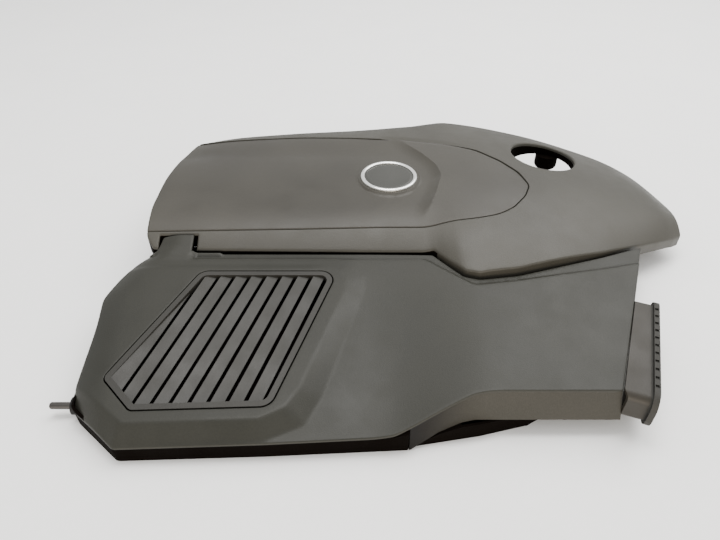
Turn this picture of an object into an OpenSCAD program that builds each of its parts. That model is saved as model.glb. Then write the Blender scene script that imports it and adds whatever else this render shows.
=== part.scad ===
// Engine cover with a louvred grille, an air duct, a trim panel and a bare round badge.
// Millimetres, +Z up, origin on the ground below the middle of the part.

/* [Outline] */
// How far the nose reaches to the right of the middle
nose_reach = 328; // [322:1:332]
// How far the rear edge stands behind the middle
rear_reach = 254.5; // [250:0.5:258]
// How far the front lip stands before the middle
front_reach = 253.5; // [250:0.5:256]

/* [Upper cover] */
// Height of the arch's crest above the ground
crest_h = 78; // [76:0.5:84]
// Fall from the crest to the edge over the slit
arch_fall = 29; // [26:0.5:31]
// Fall from the crest to the rear edge
rear_fall = 14; // [10:0.5:17]
// Fall of the crest line from the middle to the tip of the nose
nose_fall = 50; // [44:1:52]
// Wall of the moulded covers
cover_t = 2.6; // [2:0.1:3]
// Depth of the upper cover's side walls
skirt_h = 17; // [14:0.5:18]

/* [Front cover] */
// Height of the deck along the ledge
deck_h = 49.5; // [48:0.5:51]
// Height of the front lip on the left
lip_h = 20; // [18:0.5:22]
// Height of the front shoulder on the right
shoulder_h = 46; // [43:0.5:48]
// Height of the plateau at its rear
plateau_rear_h = 50.5; // [50:0.5:53]
// Height of the plateau at its front
plateau_front_h = 31; // [29:0.5:33]
// Drop of the ledge below the deck
ledge_drop = 3; // [2:0.25:3.5]
// Height of the visible edge of the cover above the black tray
lip_t = 2.5; // [2.5:0.25:4]
// Height of the duct wall's lower edge
wall_foot_h = 18; // [16:0.5:20]

/* [Grille] */
// Number of slots
slot_count = 9; // [6:1:11]
// Spacing of the slots across the grille
slot_pitch = 16; // [14:0.2:17]
// Thickness of a slat
slat_t = 2; // [1.6:0.1:3]
// Width of a slat
slat_w = 10.8; // [10:0.1:12]
// Tilt of the slats
slat_tilt = 12; // [6:1:18]
// Width of the frame round the slats
frame_w = 5.5; // [4:0.5:7]
// Depth of the frame
frame_h = 7; // [6:0.5:9]

/* [Trim and badge] */
// Depth of the recessed zone below the cover
recess_d = 6; // [4:0.5:7]
// Share of that depth which fades out towards the rear seam
rear_fade = 0.85; // [0.6:0.05:0.9]
// Thickness of the trim panel
trim_t = 2.4; // [2:0.1:3]
// Outside diameter of the badge ring
badge_d = 68; // [60:1:76]
// Width of the badge ring
ring_w = 4.6; // [3.5:0.1:6]
// Height of the badge ring
ring_h = 3.2; // [2.5:0.1:4]

/* [Filler opening] */
// Diameter of the filler opening
filler_d = 82; // [74:1:84]
// Depth of the collar round the opening
collar_h = 20; // [14:1:24]

/* [Duct] */
// Width of the duct sleeve
duct_w = 129; // [118:1:133]
// Height of the duct sleeve
duct_h = 30; // [28:1:34]
// Wall of the sleeve and of the tray
duct_t = 2.5; // [2:0.1:3]
// Length of the sleeve
sleeve_len = 19; // [16:1:24]
// Thickness of the rubber seal
seal_t = 6.5; // [5:0.5:10]
// How far the seal stands out beyond the sleeve
seal_rim = 4; // [3:0.5:6]
// Number of notches along a long side of the seal
notch_count = 11; // [8:1:16]

/* [Fixings] */
// Diameter of the ball stud's bore in a grommet
stud_bore = 10; // [8:0.5:11]
// Depth of the ball stud's bore
stud_depth = 9; // [7:0.5:10]
// Outside diameter of a grommet's body
grommet_d = 17; // [15:0.5:19]
// Diameter of a socket tower
tower_d = 30; // [26:1:32]
// Diameter of the locating pin
pin_d = 6.5; // [5:0.5:8]
// Length of the locating pin outside the bush
pin_len = 21.2; // [16:0.2:26]
// Shank diameter of the screws
screw_d = 4; // [3.5:0.5:5]
// Thickness of the foam pad
pad_t = 8; // [5:0.5:10]

/* [Hidden] */

fit = 0.4;          // clearance between parts that nest
slip = 0.3;         // clearance all round between round parts and their bores
seam = 0.8;         // visible parting gap round the trim panel
end_gap = 0.2;      // how far the trim panel's left end stays inside the cover's edge
cut = 1;            // how far a cutter runs past the face that it opens
tall = 120;         // height of an upright cutter, above everything
deep = -20;         // bottom of an upright cutter, below the ground
far = 400;          // reach of a level cutter, past every outline
arc_step = 8;       // angle that one chord of a rounded corner spans
round_fn = 48;

cover_grey = [0.37, 0.36, 0.33];
trim_grey = [0.40, 0.38, 0.34];
black_plastic = [0.08, 0.08, 0.08];
rubber_grey = [0.60, 0.60, 0.58];
rubber_black = [0.05, 0.05, 0.05];
bright_metal = [0.88, 0.88, 0.90];
dark_steel = [0.35, 0.34, 0.33];
dark_trim = [0.16, 0.16, 0.17];
duct_brown = [0.33, 0.31, 0.28];
foam_black = [0.13, 0.13, 0.13];
paper_beige = [0.86, 0.84, 0.78];

// Guide lines of the arch, each a list of [x, value]
crest_share = [[-290, 0], [-60, 0], [80, 0.02], [160, 0.12], [220, 0.26], [270, 0.42], [305, 0.58],
  [330, 0.8]];
crest_y = [[-290, 82], [100, 82], [200, 78], [270, 70], [330, 56]];
front_y = [[-290, -28], [10, -28.5], [26, -28.8], [34, -37], [56, -60], [72, -67.5], [90, -67.5], [114, -63],
  [160, -50], [210, -35], [294, 4], [330, 24]];
front_share = [[-290, 1], [28, 1], [60, 0.86], [110, 0.74], [160, 0.62], [210, 0.56], [270, 0.52],
  [305, 0.5], [330, 0.4]];
rear_y = [[-290, rear_reach - 74.5], [-216, rear_reach - 49.5], [-135, rear_reach - 35.5],
  [-51, rear_reach - 26.5], [60, rear_reach - 0.5], [121, rear_reach - 12.5], [200, rear_reach - 42.5],
  [271, rear_reach - 85.5], [301, 136], [316, 112], [330, 80]];
rear_share = [[-290, 1], [100, 1], [220, 0.8], [300, 0.45], [330, 0.3]];
arch_power = 2.3;
arch_reach = 1.4;

// Lines of the front cover's surfaces
deck_y = -41;       // ledge line
lip_y = -240;       // front lip
twist_x = [-45, 70];    // where the front edge climbs from the lip to the shoulder
left_x = [[-225, -298], [-160, -304], [-95, -310], [-68, -301], [-48, -291], [-24, -272]];
roll_w = 30;        // width of the rolled-over left edge
roll_drop = 6;
slope_run = 196;    // plan length of the plateau from rear to front
wall_y = -225;      // foot of the duct wall
facet_lean = 9;     // how far the duct wall's foot stands in front of its top
facet_run = 8;      // how far left of the skirt's end the twisted face starts
facet_bend_x = 48;  // from here on the duct wall is plain
facet_foot = [8 - front_reach, 0];
facet_head = [11.5 - front_reach, lip_h + 4];
back_run = 4;       // run of the deck's underside before the ledge line

// Outlines seen from above, anticlockwise, each point [x, y, corner radius]
upper_corners = [[-277, -25, 4], [-271, -26, 0.6], [-271, -11, 1], [-229, -11, 1], [-229, -27, 0.6],
  [29, -29, 6], [59, -64, 8], [73, -69, 12], [114, -63, 60], [159, -49, 150], [208, -34, 150],
  [261, -12, 150], [294, 4, 150], [nose_reach - 13, 16, 40], [nose_reach, 25, 7],
  [nose_reach + 1, 62, 120], [nose_reach - 3, 84, 80], [nose_reach - 26, 137, 90],
  [271, rear_reach - 83.5, 120], [200, rear_reach - 41.5, 300], [121, rear_reach - 11.5, 300],
  [66, rear_reach, 30], [22, rear_reach - 16.5, 30], [-51, rear_reach - 25.5, 300],
  [-135, rear_reach - 35.5, 300], [-216, rear_reach - 48.5, 200], [-271, rear_reach - 64.5, 9],
  [-281, 137, 200], [-286, 82, 200], [-288, 30, 120], [-286, -12, 20]];
trim_corners = [[-300, -8, 0], [-117, -5, 300], [-29, -3, 300], [26, -3, 200], [76, 1, 120], [105, 9, 60],
  [124, 23, 40], [141, 45, 40], [151, 68, 24], [144, 98, 40], [126, 126, 50], [99, 154, 40],
  [68, 168, 60], [35, 176, 100], [3, 185, 200], [-65, 196, 300], [-133, 199, 300], [-300, 187, 0]];
recess_corners = [[-320, -20, 0], [12, -20, 0], [21, 10, 40], [37, 46, 60], [47, 84, 30], [44, 108, 60],
  [27, 142, 60], [5, 177, 40], [-14, 210, 0], [-320, 210, 0]];

lip_edge = [[-304, 39.5 - front_reach, 10], [-256, -front_reach, 8], [-130, 4.3 - front_reach, 200]];
front_edge = concat(lip_edge, [[-12, 10.5 - front_reach, 20], [42, wall_y - 4, 20],
  [56, wall_y, 15], [174, wall_y, 3], [171.6, wall_y + 9, 6]]);
left_side = [[-302, -68, 30], [-311, -95, 25], [-306, -130, 200]];
left_edge = concat([[-272, -30, 5], [-279, -34, 12], [-291, -47, 25]], left_side);
ledge_back = [[259, -19, 1], [208, -37, 100], [159, -52, 100], [114, -66, 60], [73, -72, 12],
  [57, -67, 8], [28, -32.5, 6], [-229, -32, 1]];
deck_zone = [[-360, -290, 0], [300, -290, 0], [300, -36, 0], [246, -48, 20], [201, -58, 100],
  [157, -66, 100], [113, -75, 60], [66, -82, 12], [44, -63, 12], [19, -41.5, 10], [-229, -41.5, 1],
  [-229, -20, 0], [-360, -20, 0]];
flange_corners = [[-268, -35, 1], [24, -36, 1], [54, -70, 4], [73, -75, 6], [114, -69, 10], [159, -55, 10],
  [208, -40, 10], [250, -26, 2], [240, 6, 6], [-268, 6, 6]];
flange_z = 25.5;
flange_t = 2.5;
plateau_outer = [[-350, -177], [-256, 1 - front_reach], [-132, 6.5 - front_reach],
  [-98, 20.5 - front_reach], [-84, -205], [-46, -85],
  [-45, -68], [-54, -50], [-68, -38], [-350, -38]];
plateau_inner = [[-350, -160], [-251, -237], [-137, -233], [-116, -222], [-104, -203], [-66, -88],
  [-66, -76], [-72, -62], [-84, -54], [-350, -54]];
tongue_x = [-267, -232.5];
tongue_end_y = -13;
tongue_rise = 6;
tongue_t = 3.6;

// Grille, laid out on the plateau's slope
grille_corners = [[-217, -61, 14], [-280, -194, 8], [-247, -227, 8], [-127, -223, 14], [-73, -61, 14]];
slot_lean = 17.9;   // the slots' angle from the Y axis
slot_mid = [-174.5, -144];
grille_seam = 1.2;  // visible parting gap round the grille
grille_seat = 3;    // width of the shelf below the frame
slot_step_deg = atan((plateau_rear_h - plateau_front_h) / slope_run);

// Tray
tray_front = concat(lip_edge, [[-10, 10.5 - front_reach, 1], [-9, 13.5 - front_reach, 1],
  [54, wall_y - 4, 60], [101, wall_y + 8, 60], [165, wall_y + 8, 3]]);
tray_foot_z = 14;   // underside of the tray at the duct mouth
tray_rise_x = [98, 113];
tray_back_y = -46;
skirt_end_x = -9;   // right end of the black skirt
skirt_gap = 1.5;    // gap there between the tray's foot line and the cover's point
ramp_x = [16, 36];  // where the duct wall's foot climbs from the skirt's end
ramp_h = wall_foot_h - 5;

// Duct frame: origin at the middle of the mouth, X out of the mouth, Y along it
duct_turn = -21;
duct_at = [194.0, wall_y + 62.8];
duct_low_z = 49 - duct_h;
mouth_r = 8;
passage_x0 = -34;   // where the air's way through the tray's wall starts
passage_x1 = 30;
seal_corner = 14;
seal_neck = 1.5;    // length of the seal's slim part, the dark groove beside the sleeve
notch_w = 3.2;
notch_d = 1.6;
notch_edge = 0.6;   // web between the groove and a notch

badge_at = [-16, 86];
badge_seat_d = badge_d + 5;
badge_seat_h = 3;
ring_edge = 1.6;    // rounding of the badge ring's top
face_r = badge_d / 2 - ring_w - slip;
badge_seat_z = crest_h - recess_d + 1;
filler_at = [188, 153];

// Sockets: [x, y, height of the mouth]
rear_left = [-232, 150, 0];
rear_right = [208, 194, 26];
mid_left = [-120, 40, 12];
mid_right = [214, 40, 0];
towers = [rear_left, rear_right, mid_left, mid_right];
grommet_len = 13;

clip_spots = [[-240, 40], [-190, 162], [-110, 150], [-60, 20], [100, 40], [80, 130]];
blade_w = 12;
blade_t = 2;
clip_t = 0.8;
blade_below = 9;
slot_gap = 0.5;     // play round a blade in its slot
block_w = 2.5;      // wall of a clip's block beside the blade
block_t = 3;
shell_screw_spots = [[-284, -130], [-150, -234], [20, -218], [84, -196], [84, -96], [-60, -64]];
cover_screw_spots = [[-190, -6], [-70, -6], [90, -10], [200, -10]];
boss_d = 9;
head_d = 8.4;
head_h = 2.6;
pocket_h = 7;       // height of the screw pockets in the tray's floor
pocket_d = 14;
pocket_floor = 3;
shell_screw_len = 10;
cover_screw_len = 14;

pin_at = [-303, -205, 11.5];  // seat of the bush on the tray's wall
pin_step = 0.25;    // shoulder where the pin passes into the bush
pin_root = 7;       // depth of the tray's boss behind the bush
pin_flange = 2.5;
bush_d = 16;
bush_h = 4.5;
filter_at = [8, -142];
filter_l = 110;
filter_w = 96;
filter_h = 16;
filter_rim = 4;     // height of the rim that holds the filter on the tray's floor

// Plain helpers
function mix(a, b, t) = a + (b - a) * t;
function ease(a, b, x) = let (t = min(1, max(0, (x - a) / (b - a)))) t * t * (3 - 2 * t);
function unit(v) = v / norm(v);

// Smooth curve through a guide line's stations
function rate(line, i) =
  i == 0 ? 0 :
  i == len(line) - 1 ? (line[i][1] - line[i - 1][1]) / (line[i][0] - line[i - 1][0]) :
  (line[i + 1][1] - line[i - 1][1]) / (line[i + 1][0] - line[i - 1][0]);
function span(line, x, i = 0) = i >= len(line) - 2 || x < line[i + 1][0] ? i : span(line, x, i + 1);
function along(line, x) =
  x <= line[0][0] ? line[0][1] :
  x >= line[len(line) - 1][0] ? line[len(line) - 1][1] :
  let (i = span(line, x), h = line[i + 1][0] - line[i][0], t = (x - line[i][0]) / h)
  (2 * t^3 - 3 * t^2 + 1) * line[i][1] + (t^3 - 2 * t^2 + t) * h * rate(line, i)
  + (3 * t^2 - 2 * t^3) * line[i + 1][1] + (t^3 - t^2) * h * rate(line, i + 1);

// Surfaces, as heights over the ground
function crest_z(x) = crest_h - nose_fall * along(crest_share, x);
function arch_z(x, y) =
  let (top = crest_z(x), mid = along(crest_y, x),
    front = min(arch_reach, (mid - y) / (mid - along(front_y, x))),
    rear = min(arch_reach, (y - mid) / (along(rear_y, x) - mid)))
  y < mid
    ? top - arch_fall * along(front_share, x) * front^arch_power
    : top - rear_fall * along(rear_share, x) * rear^2;
function recess_z(x, y) = arch_z(x, y) - recess_d * ease(-6, 60, y) * (1 - rear_fade * ease(140, 198, y));
// Depth of the side walls, less towards the tip of the nose
function skirt_z(x, y) = arch_z(x, y) - skirt_h * mix(1, 0.72, ease(200, 310, x));
function left_roll(x, y) = roll_drop * max(0, (along(left_x, y) + roll_w - x) / roll_w)^2;
function deck_z(x, y) =
  mix(deck_h, mix(lip_h, shoulder_h, ease(twist_x[0], twist_x[1], x)), (deck_y - y) / (deck_y - lip_y))
  - left_roll(x, y);
function plateau_z(x, y) =
  mix(plateau_rear_h, plateau_front_h, (deck_y - y) / slope_run) - left_roll(x, y);

function blade_foot(spot) = arch_z(spot[0], spot[1]) - recess_d - trim_t - blade_below;
function clip_top(spot) = blade_foot(spot) + blade_below - cover_t - clip_t - 1.5;

// Rounded outline from [x, y, radius] corners
function corner(a, b, c, r) =
  let (u = unit(a - b), w = unit(c - b), turn = 180 - acos(max(-1, min(1, u * w))))
  turn < 1 || r == 0 ? [b] :
  let (t = min(r * tan(turn / 2), 0.49 * min(norm(a - b), norm(c - b))), rr = t / tan(turn / 2),
    mid = b + unit(u + w) * rr / cos(turn / 2), from = b + u * t - mid,
    way = cross(b - a, c - b) > 0 ? 1 : -1, n = max(1, ceil(turn / arc_step)),
    start = atan2(from[1], from[0]))
  [for (k = [0:n]) mid + rr * [cos(start + way * turn * k / n), sin(start + way * turn * k / n)]];
function flat(p) = [p[0], p[1]];
function rounded(p) =
  let (n = len(p))
  [for (i = [0:n - 1]) each corner(flat(p[(i + n - 1) % n]), flat(p[i]), flat(p[(i + 1) % n]), p[i][2])];

// The same outline moved inwards by d, with each corner's radius to match
function inset(p, d) =
  let (n = len(p))
  rounded([for (i = [0:n - 1])
    let (b = flat(p[i]), u = unit(b - flat(p[(i + n - 1) % n])), w = unit(flat(p[(i + 1) % n]) - b),
      nu = [-u[1], u[0]], m = unit(nu + [-w[1], w[0]]), way = cross(u, w) > 0 ? -1 : 1,
      moved = b + m * d / max(0.4, m * nu))
    [moved[0], moved[1], p[i][2] == 0 ? 0 : max(0, p[i][2] + way * d)]]);

cover_corners = concat(front_edge, ledge_back, left_edge);
tray_corners = concat(tray_front, [[250, -33, 3], [232, tray_back_y, 20], [60, -84, 20],
  [20, tray_back_y, 12], [-288, tray_back_y, 8]], left_side);

// Upright prism over an outline
module prism(outline, z0 = deep, z1 = tall) {
  translate([0, 0, z0])
    linear_extrude(z1 - z0)
      polygon(outline);
}

// Everything under a height function, over a grid
module under(height, off, x_from, x_to, y_from, y_to, nx, ny) {
  row = ny + 1;
  count = (nx + 1) * row;
  top = [for (i = [0:nx]) for (j = [0:ny])
    let (x = mix(x_from, x_to, i / nx), y = mix(y_from, y_to, j / ny)) [x, y, height(x, y) + off]];
  feet = [[x_from, y_from, deep], [x_to, y_from, deep], [x_to, y_to, deep], [x_from, y_to, deep]];
  polyhedron(concat(top, feet), concat(
    [for (i = [0:nx - 1]) for (j = [0:ny - 1])
      let (a = i * row + j, b = a + row) each [[a, a + 1, b + 1], [a, b + 1, b]]],
    [concat([count + 3], [for (j = [ny:-1:0]) j], [count])],
    [concat([count + 1], [for (j = [0:ny]) nx * row + j], [count + 2])],
    [concat([count], [for (i = [0:nx]) i * row], [count + 1])],
    [concat([count + 2], [for (i = [nx:-1:0]) i * row + ny], [count + 3])],
    [[count, count + 1, count + 2, count + 3]]));
}
module under_arch(off) {
  under(function(x, y) arch_z(x, y), off, -296, 336, -76, 262, 32, 16);
}
module under_recess(off) {
  under(function(x, y) recess_z(x, y), off, -296, 50, -16, 208, 14, 14);
}
// Solid below the trim panel's skin, side moves the step outwards
module trim_body(off, side = 0) {
  difference() {
    under_arch(off);
    difference() {
      prism(inset(recess_corners, side));
      under_recess(off);
    }
  }
}
module under_deck(off) {
  under(function(x, y) deck_z(x, y), off, -320, 264, -258, -12, 34, 5);
}
module under_ledge(off) {
  under(function(x, y) deck_z(x, y) - ledge_drop, off, -324, 268, -264, -10, 32, 5);
}
module under_plateau(off) {
  under(function(x, y) plateau_z(x, y), off, -322, -20, -261, -14, 14, 5);
}

// Solid through rings of points, each ring anticlockwise seen from the last one
module loft(rings) {
  n = len(rings[0]);
  last = len(rings) - 1;
  polyhedron([for (ring = rings) each ring], concat(
    [[for (i = [0:n - 1]) i]],
    [for (k = [0:last - 1]) for (i = [0:n - 1])
      let (a = k * n + i, b = k * n + (i + 1) % n) each [[a, a + n, b + n], [a, b + n, b]]],
    [[for (i = [n - 1:-1:0]) last * n + i]]));
}

// Bevelled body of the plateau: its flanks run from the deck to the plateau's rim and on upwards
module plateau_flanks(off) {
  bottom = [for (p = plateau_outer) [p[0], p[1], deck_z(max(p[0], -250), p[1])]];
  rim = [for (p = plateau_inner)
    [p[0], p[1], mix(plateau_rear_h, plateau_front_h, (deck_y - p[1]) / slope_run)]];
  reach = 1.6;
  head = [for (i = [0:len(rim) - 1]) mix(bottom[i], rim[i], reach)];
  translate([0, 0, off])
    loft([[for (p = bottom) [p[0], p[1], deep]], bottom, head]);
}

// Everything below the front cover's skin; off lowers the skin
module front_skin(off) {
  under_ledge(off);
  intersection() {
    prism(rounded(deck_zone), deep / 2);
    union() {
      under_deck(off);
      intersection() {
        under_plateau(off);
        plateau_flanks(off);
      }
    }
  }
}
// The same inside the cover's outline, without what the duct wall's facet takes off
module front_body(off, side = 0) {
  difference() {
    intersection() {
      prism(inset(cover_corners, side));
      front_skin(off);
    }
    translate([0, side, 0])
      facet_cutter();
  }
}

// Takes the sloping face off the duct wall, and the twisted face that leads up to it
module facet_cutter() {
  start_x = skirt_end_x - facet_run;
  far_y = -290;
  function ring(x, foot, head) =
    let (lean = (head[0] - foot[0]) / (head[1] - foot[1]))
    [for (p = [[far_y, deep], [foot[0] - (foot[1] - deep) * lean, deep],
      [head[0] + (tall - head[1]) * lean, tall], [far_y, tall]]) [x, p[0], p[1]]];
  foot = [wall_y, wall_foot_h - 1];
  head = [wall_y + facet_lean, shoulder_h];
  loft([ring(start_x, facet_foot, facet_head), ring(facet_bend_x, foot, head),
    ring(facet_bend_x + 130, foot, head)]);
}

// Where the front wall of the cover ends below: a point at the skirt's end, then level
module wall_foot_cutter() {
  translate([0, -150, 0])
    rotate([90, 0, 0])
      linear_extrude(150)
        polygon([[skirt_end_x, deep], [skirt_end_x, 0], [ramp_x[0], ramp_h], [ramp_x[1], wall_foot_h],
          [far, wall_foot_h], [far, deep]]);
  translate([skirt_end_x + cut, -150 - cut, deep])
    cube([far, 150 + deck_y + cut, wall_foot_h - deep]);
}

// The duct's own frame
module at_duct() {
  translate([duct_at[0], duct_at[1], 0])
    rotate([0, 0, duct_turn])
      children();
}
function slot_rect(w, h, r) =
  rounded([[-w / 2, -h / 2, r], [w / 2, -h / 2, r], [w / 2, h / 2, r], [-w / 2, h / 2, r]]);
module duct_prism(w, h, z_mid, r, x0, x1) {
  at_duct()
    translate([x0, 0, z_mid])
      rotate([90, 0, 90])
        linear_extrude(x1 - x0)
          polygon(slot_rect(w, h, r));
}
duct_mid_z = duct_low_z + duct_h / 2;
module duct_passage(x0, x1) {
  duct_prism(duct_w - 4 * duct_t, duct_h - 5 * duct_t, duct_mid_z - duct_t / 2, mouth_r - duct_t, x0, x1);
}

// The plateau's slope as a flat drawing plane, level with the plan at the deck's line
module on_plateau(z = 0) {
  translate([0, deck_y, plateau_rear_h])
    rotate([slot_step_deg, 0, 0])
      translate([0, -deck_y, z])
        children();
}

module socket_tower(spot) {
  edge = 6;
  core = tower_d / 2 - edge;
  translate([spot[0], spot[1], spot[2]])
    rotate_extrude($fn = round_fn)
      polygon(concat([[0, 0]], [for (a = [-90:15:0]) [core + edge * cos(a), edge + edge * sin(a)]],
        [[tower_d / 2, tall], [0, tall]]));
}

module upper_cover() {
  pocket = recess_d + trim_t + fit;
  color(cover_grey)
    difference() {
      union() {
        difference() {
          intersection() {
            prism(rounded(upper_corners));
            under_arch(0);
          }
          difference() {
            prism(rounded(trim_corners));
            under_arch(-pocket);
          }
          intersection() {
            prism(inset(upper_corners, cover_t));
            under_arch(-pocket - cover_t);
          }
          difference() {
            intersection() {
              prism(inset(upper_corners, cover_t));
              under_arch(-cover_t);
            }
            prism(inset(trim_corners, -cover_t));
          }
          under(function(x, y) skirt_z(x, y), 0, -296, 336, -76, 262, 24, 10);
        }
        intersection() {
          union() {
            for (spot = towers)
              socket_tower(spot);
            translate([filler_at[0], filler_at[1], arch_z(filler_at[0], filler_at[1]) - collar_h])
              difference() {
                cylinder(d = filler_d + 2 * cover_t, h = tall, $fn = 96);
                translate([0, 0, -cut])
                  cylinder(d = filler_d - cut, h = tall, $fn = 96);
              }
            for (spot = cover_screw_spots)
              translate([spot[0], spot[1], flange_z + flange_t])
                cylinder(d = boss_d, h = tall, $fn = round_fn);
            for (spot = clip_spots)
              translate([spot[0] - blade_w / 2 - block_w, spot[1] - blade_t / 2 - block_t, clip_top(spot)])
                cube([blade_w + 2 * block_w, blade_t + 2 * block_t, tall]);
          }
          prism(rounded(upper_corners));
          difference() {
            under_arch(-cover_t / 2);
            difference() {
              prism(rounded(trim_corners));
              under_arch(-pocket - cover_t / 2);
            }
          }
        }
      }
      for (spot = towers)
        translate([spot[0], spot[1], spot[2] - cut])
          cylinder(d = grommet_d + 2 * slip, h = grommet_len + cut, $fn = round_fn);
      translate([filler_at[0], filler_at[1], arch_z(filler_at[0], filler_at[1]) - collar_h])
        cylinder(d = filler_d, h = tall, $fn = 96);
      for (spot = cover_screw_spots)
        translate([spot[0], spot[1], flange_z])
          cylinder(d = screw_d + 2 * slip, h = cover_screw_len + cut, $fn = round_fn);
      for (spot = clip_spots)
        translate([spot[0] - blade_w / 2 - slot_gap, spot[1] - blade_t / 2 - slot_gap,
          arch_z(spot[0], spot[1]) - pocket - blade_below])
          cube([blade_w + 2 * slot_gap, blade_t + 2 * slot_gap, blade_below + cut]);
    }
}

module trim_panel() {
  pocket = recess_d + trim_t;
  color(trim_grey)
    union() {
      difference() {
        intersection() {
          prism(inset(trim_corners, seam));
          prism(inset(upper_corners, end_gap));
          trim_body(0);
        }
        intersection() {
          prism(inset(trim_corners, seam + trim_t));
          prism(inset(upper_corners, end_gap + trim_t));
          trim_body(-trim_t, -trim_t);
        }
        under_arch(-pocket);
      }
      translate([badge_at[0], badge_at[1], badge_seat_z - badge_seat_h])
        cylinder(d1 = badge_seat_d + badge_seat_h, d2 = badge_seat_d, h = badge_seat_h, $fn = 96);
      intersection() {
        union()
          for (spot = clip_spots)
            translate([spot[0] - blade_w / 2, spot[1] - blade_t / 2, blade_foot(spot)])
              cube([blade_w, blade_t, tall]);
        trim_body(-trim_t / 2);
      }
    }
}

module badge_ring() {
  color(bright_metal)
    translate([badge_at[0], badge_at[1], badge_seat_z])
      rotate_extrude($fn = 96)
        translate([badge_d / 2 - ring_w / 2, 0])
          polygon(concat([[ring_w / 2, 0]],
            [for (a = [0:15:180]) [ring_w / 2 * cos(a), ring_h - ring_edge + ring_edge * sin(a)]],
            [[-ring_w / 2, 0]]));
}

module badge_face() {
  color(dark_trim)
    translate([badge_at[0], badge_at[1], badge_seat_z])
      rotate_extrude($fn = 96)
        polygon([[0, 0], [face_r, 0], [face_r, 1.2], [face_r - 3, 1.8], [0, 2]]);
}

module front_cover() {
  color(cover_grey)
    difference() {
      union() {
        difference() {
          front_body(0);
          intersection() {
            front_body(-cover_t, cover_t);
            prism(inset(cover_corners, cover_t));
          }
          intersection() {
            front_skin(-lip_t);
            translate([-far, -far, deep])
              cube([far + skirt_end_x, far + deck_y - back_run, tall - deep]);
          }
          wall_foot_cutter();
          translate([-far, deck_y - back_run - cut, deep])
            cube([2 * far, far, flange_z - deep]);
        }
        prism(rounded(flange_corners), flange_z, flange_z + flange_t);
        tongue();
        grille_seat_ring();
        intersection() {
          union()
            for (spot = shell_screw_spots)
              translate([spot[0], spot[1], pocket_h])
                cylinder(d = boss_d, h = tall, $fn = round_fn);
          front_body(-cover_t / 2, cover_t / 2);
        }
      }
      on_plateau(-frame_h)
        linear_extrude(tall - frame_h)
          polygon(inset(grille_corners, 0));
      for (spot = shell_screw_spots)
        translate([spot[0], spot[1], pocket_h - cut])
          cylinder(d = screw_d + 2 * slip, h = shell_screw_len, $fn = round_fn);
      for (spot = cover_screw_spots)
        translate([spot[0], spot[1], flange_z - cut])
          cylinder(d = screw_d + 0.5, h = flange_t + 2 * cut, $fn = round_fn);
      duct_passage(passage_x0 + 10, passage_x1);
    }
}

// Strip of the plateau that reaches into the upper cover's notch
module tongue() {
  root_z = plateau_z(-250, deck_y);
  side = 3;
  function ring(y, z) =
    [for (p = [[tongue_x[0], -tongue_t], [tongue_x[1] + side, -tongue_t],
      [tongue_x[1], 0], [tongue_x[0], 0]]) [p[0], y, z + p[1]]];
  loft([ring(tongue_end_y, root_z + tongue_rise), ring(-36, root_z + 1), ring(-44, root_z - 0.8)]);
}

// Wall and shelf round the grille's opening; the opening's cutter leaves the shelf
module grille_seat_ring() {
  on_plateau(-frame_h - cover_t)
    difference() {
      linear_extrude(frame_h + cover_t - 1.5)
        polygon(inset(grille_corners, -2));
      translate([0, 0, -cut])
        linear_extrude(frame_h + cover_t + 2 * cut)
          polygon(inset(grille_corners, grille_seat));
    }
}

module grille_insert() {
  inner = inset(grille_corners, grille_seam + frame_w);
  color(trim_grey)
    on_plateau(-frame_h) {
      difference() {
        linear_extrude(frame_h)
          polygon(inset(grille_corners, grille_seam));
        translate([0, 0, -cut])
          linear_extrude(frame_h + 2 * cut)
            polygon(inner);
      }
      intersection() {
        linear_extrude(frame_h)
          polygon(inset(grille_corners, grille_seam + frame_w - 1));
        for (i = [0:slot_count - 1])
          translate([slot_mid[0] + (i - slot_count / 2) * slot_pitch, slot_mid[1], frame_h - 3.4])
            rotate([0, 0, -slot_lean])
              rotate([0, slat_tilt, 0])
                translate([-slat_w / 2 - (i == 0 ? slot_pitch : 0), -120, -slat_t / 2])
                  cube([slat_w + (i == 0 ? slot_pitch : 0), 240, slat_t]);
      }
    }
}

// The tray as a solid, d moves all its walls inwards
module tray_block(d) {
  intersection() {
    prism(inset(tray_corners, d));
    union() {
      rotate([90, 0, 0])
        linear_extrude(far - 90)
          polygon([[skirt_end_x + skirt_gap + 2 * d, 0], [ramp_x[0], ramp_h - 2 * fit - 1.2 * d],
            [ramp_x[1], wall_foot_h - fit - d], [far, wall_foot_h - fit - d], [far, 2 * deep],
            [skirt_end_x + skirt_gap + 2 * d, 2 * deep]]);
      translate([-far - 10, -far, 3 * deep])
        cube([far + 10 + skirt_end_x - fit - d, 1.3 * far, tall - 3 * deep + 2]);
      prism(inset(cover_corners, cover_t + fit + d), 1.5 * deep, tall + 4);
    }
    translate([0, 60, 0])
      rotate([90, 0, 0])
        linear_extrude(far)
          polygon([[-far - 20, 0], [tray_rise_x[0], 0], [tray_rise_x[1], tray_foot_z],
            [far + 20, tray_foot_z], [far + 20, tall - 4], [-far - 20, tall - 4]]);
  }
}
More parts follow.
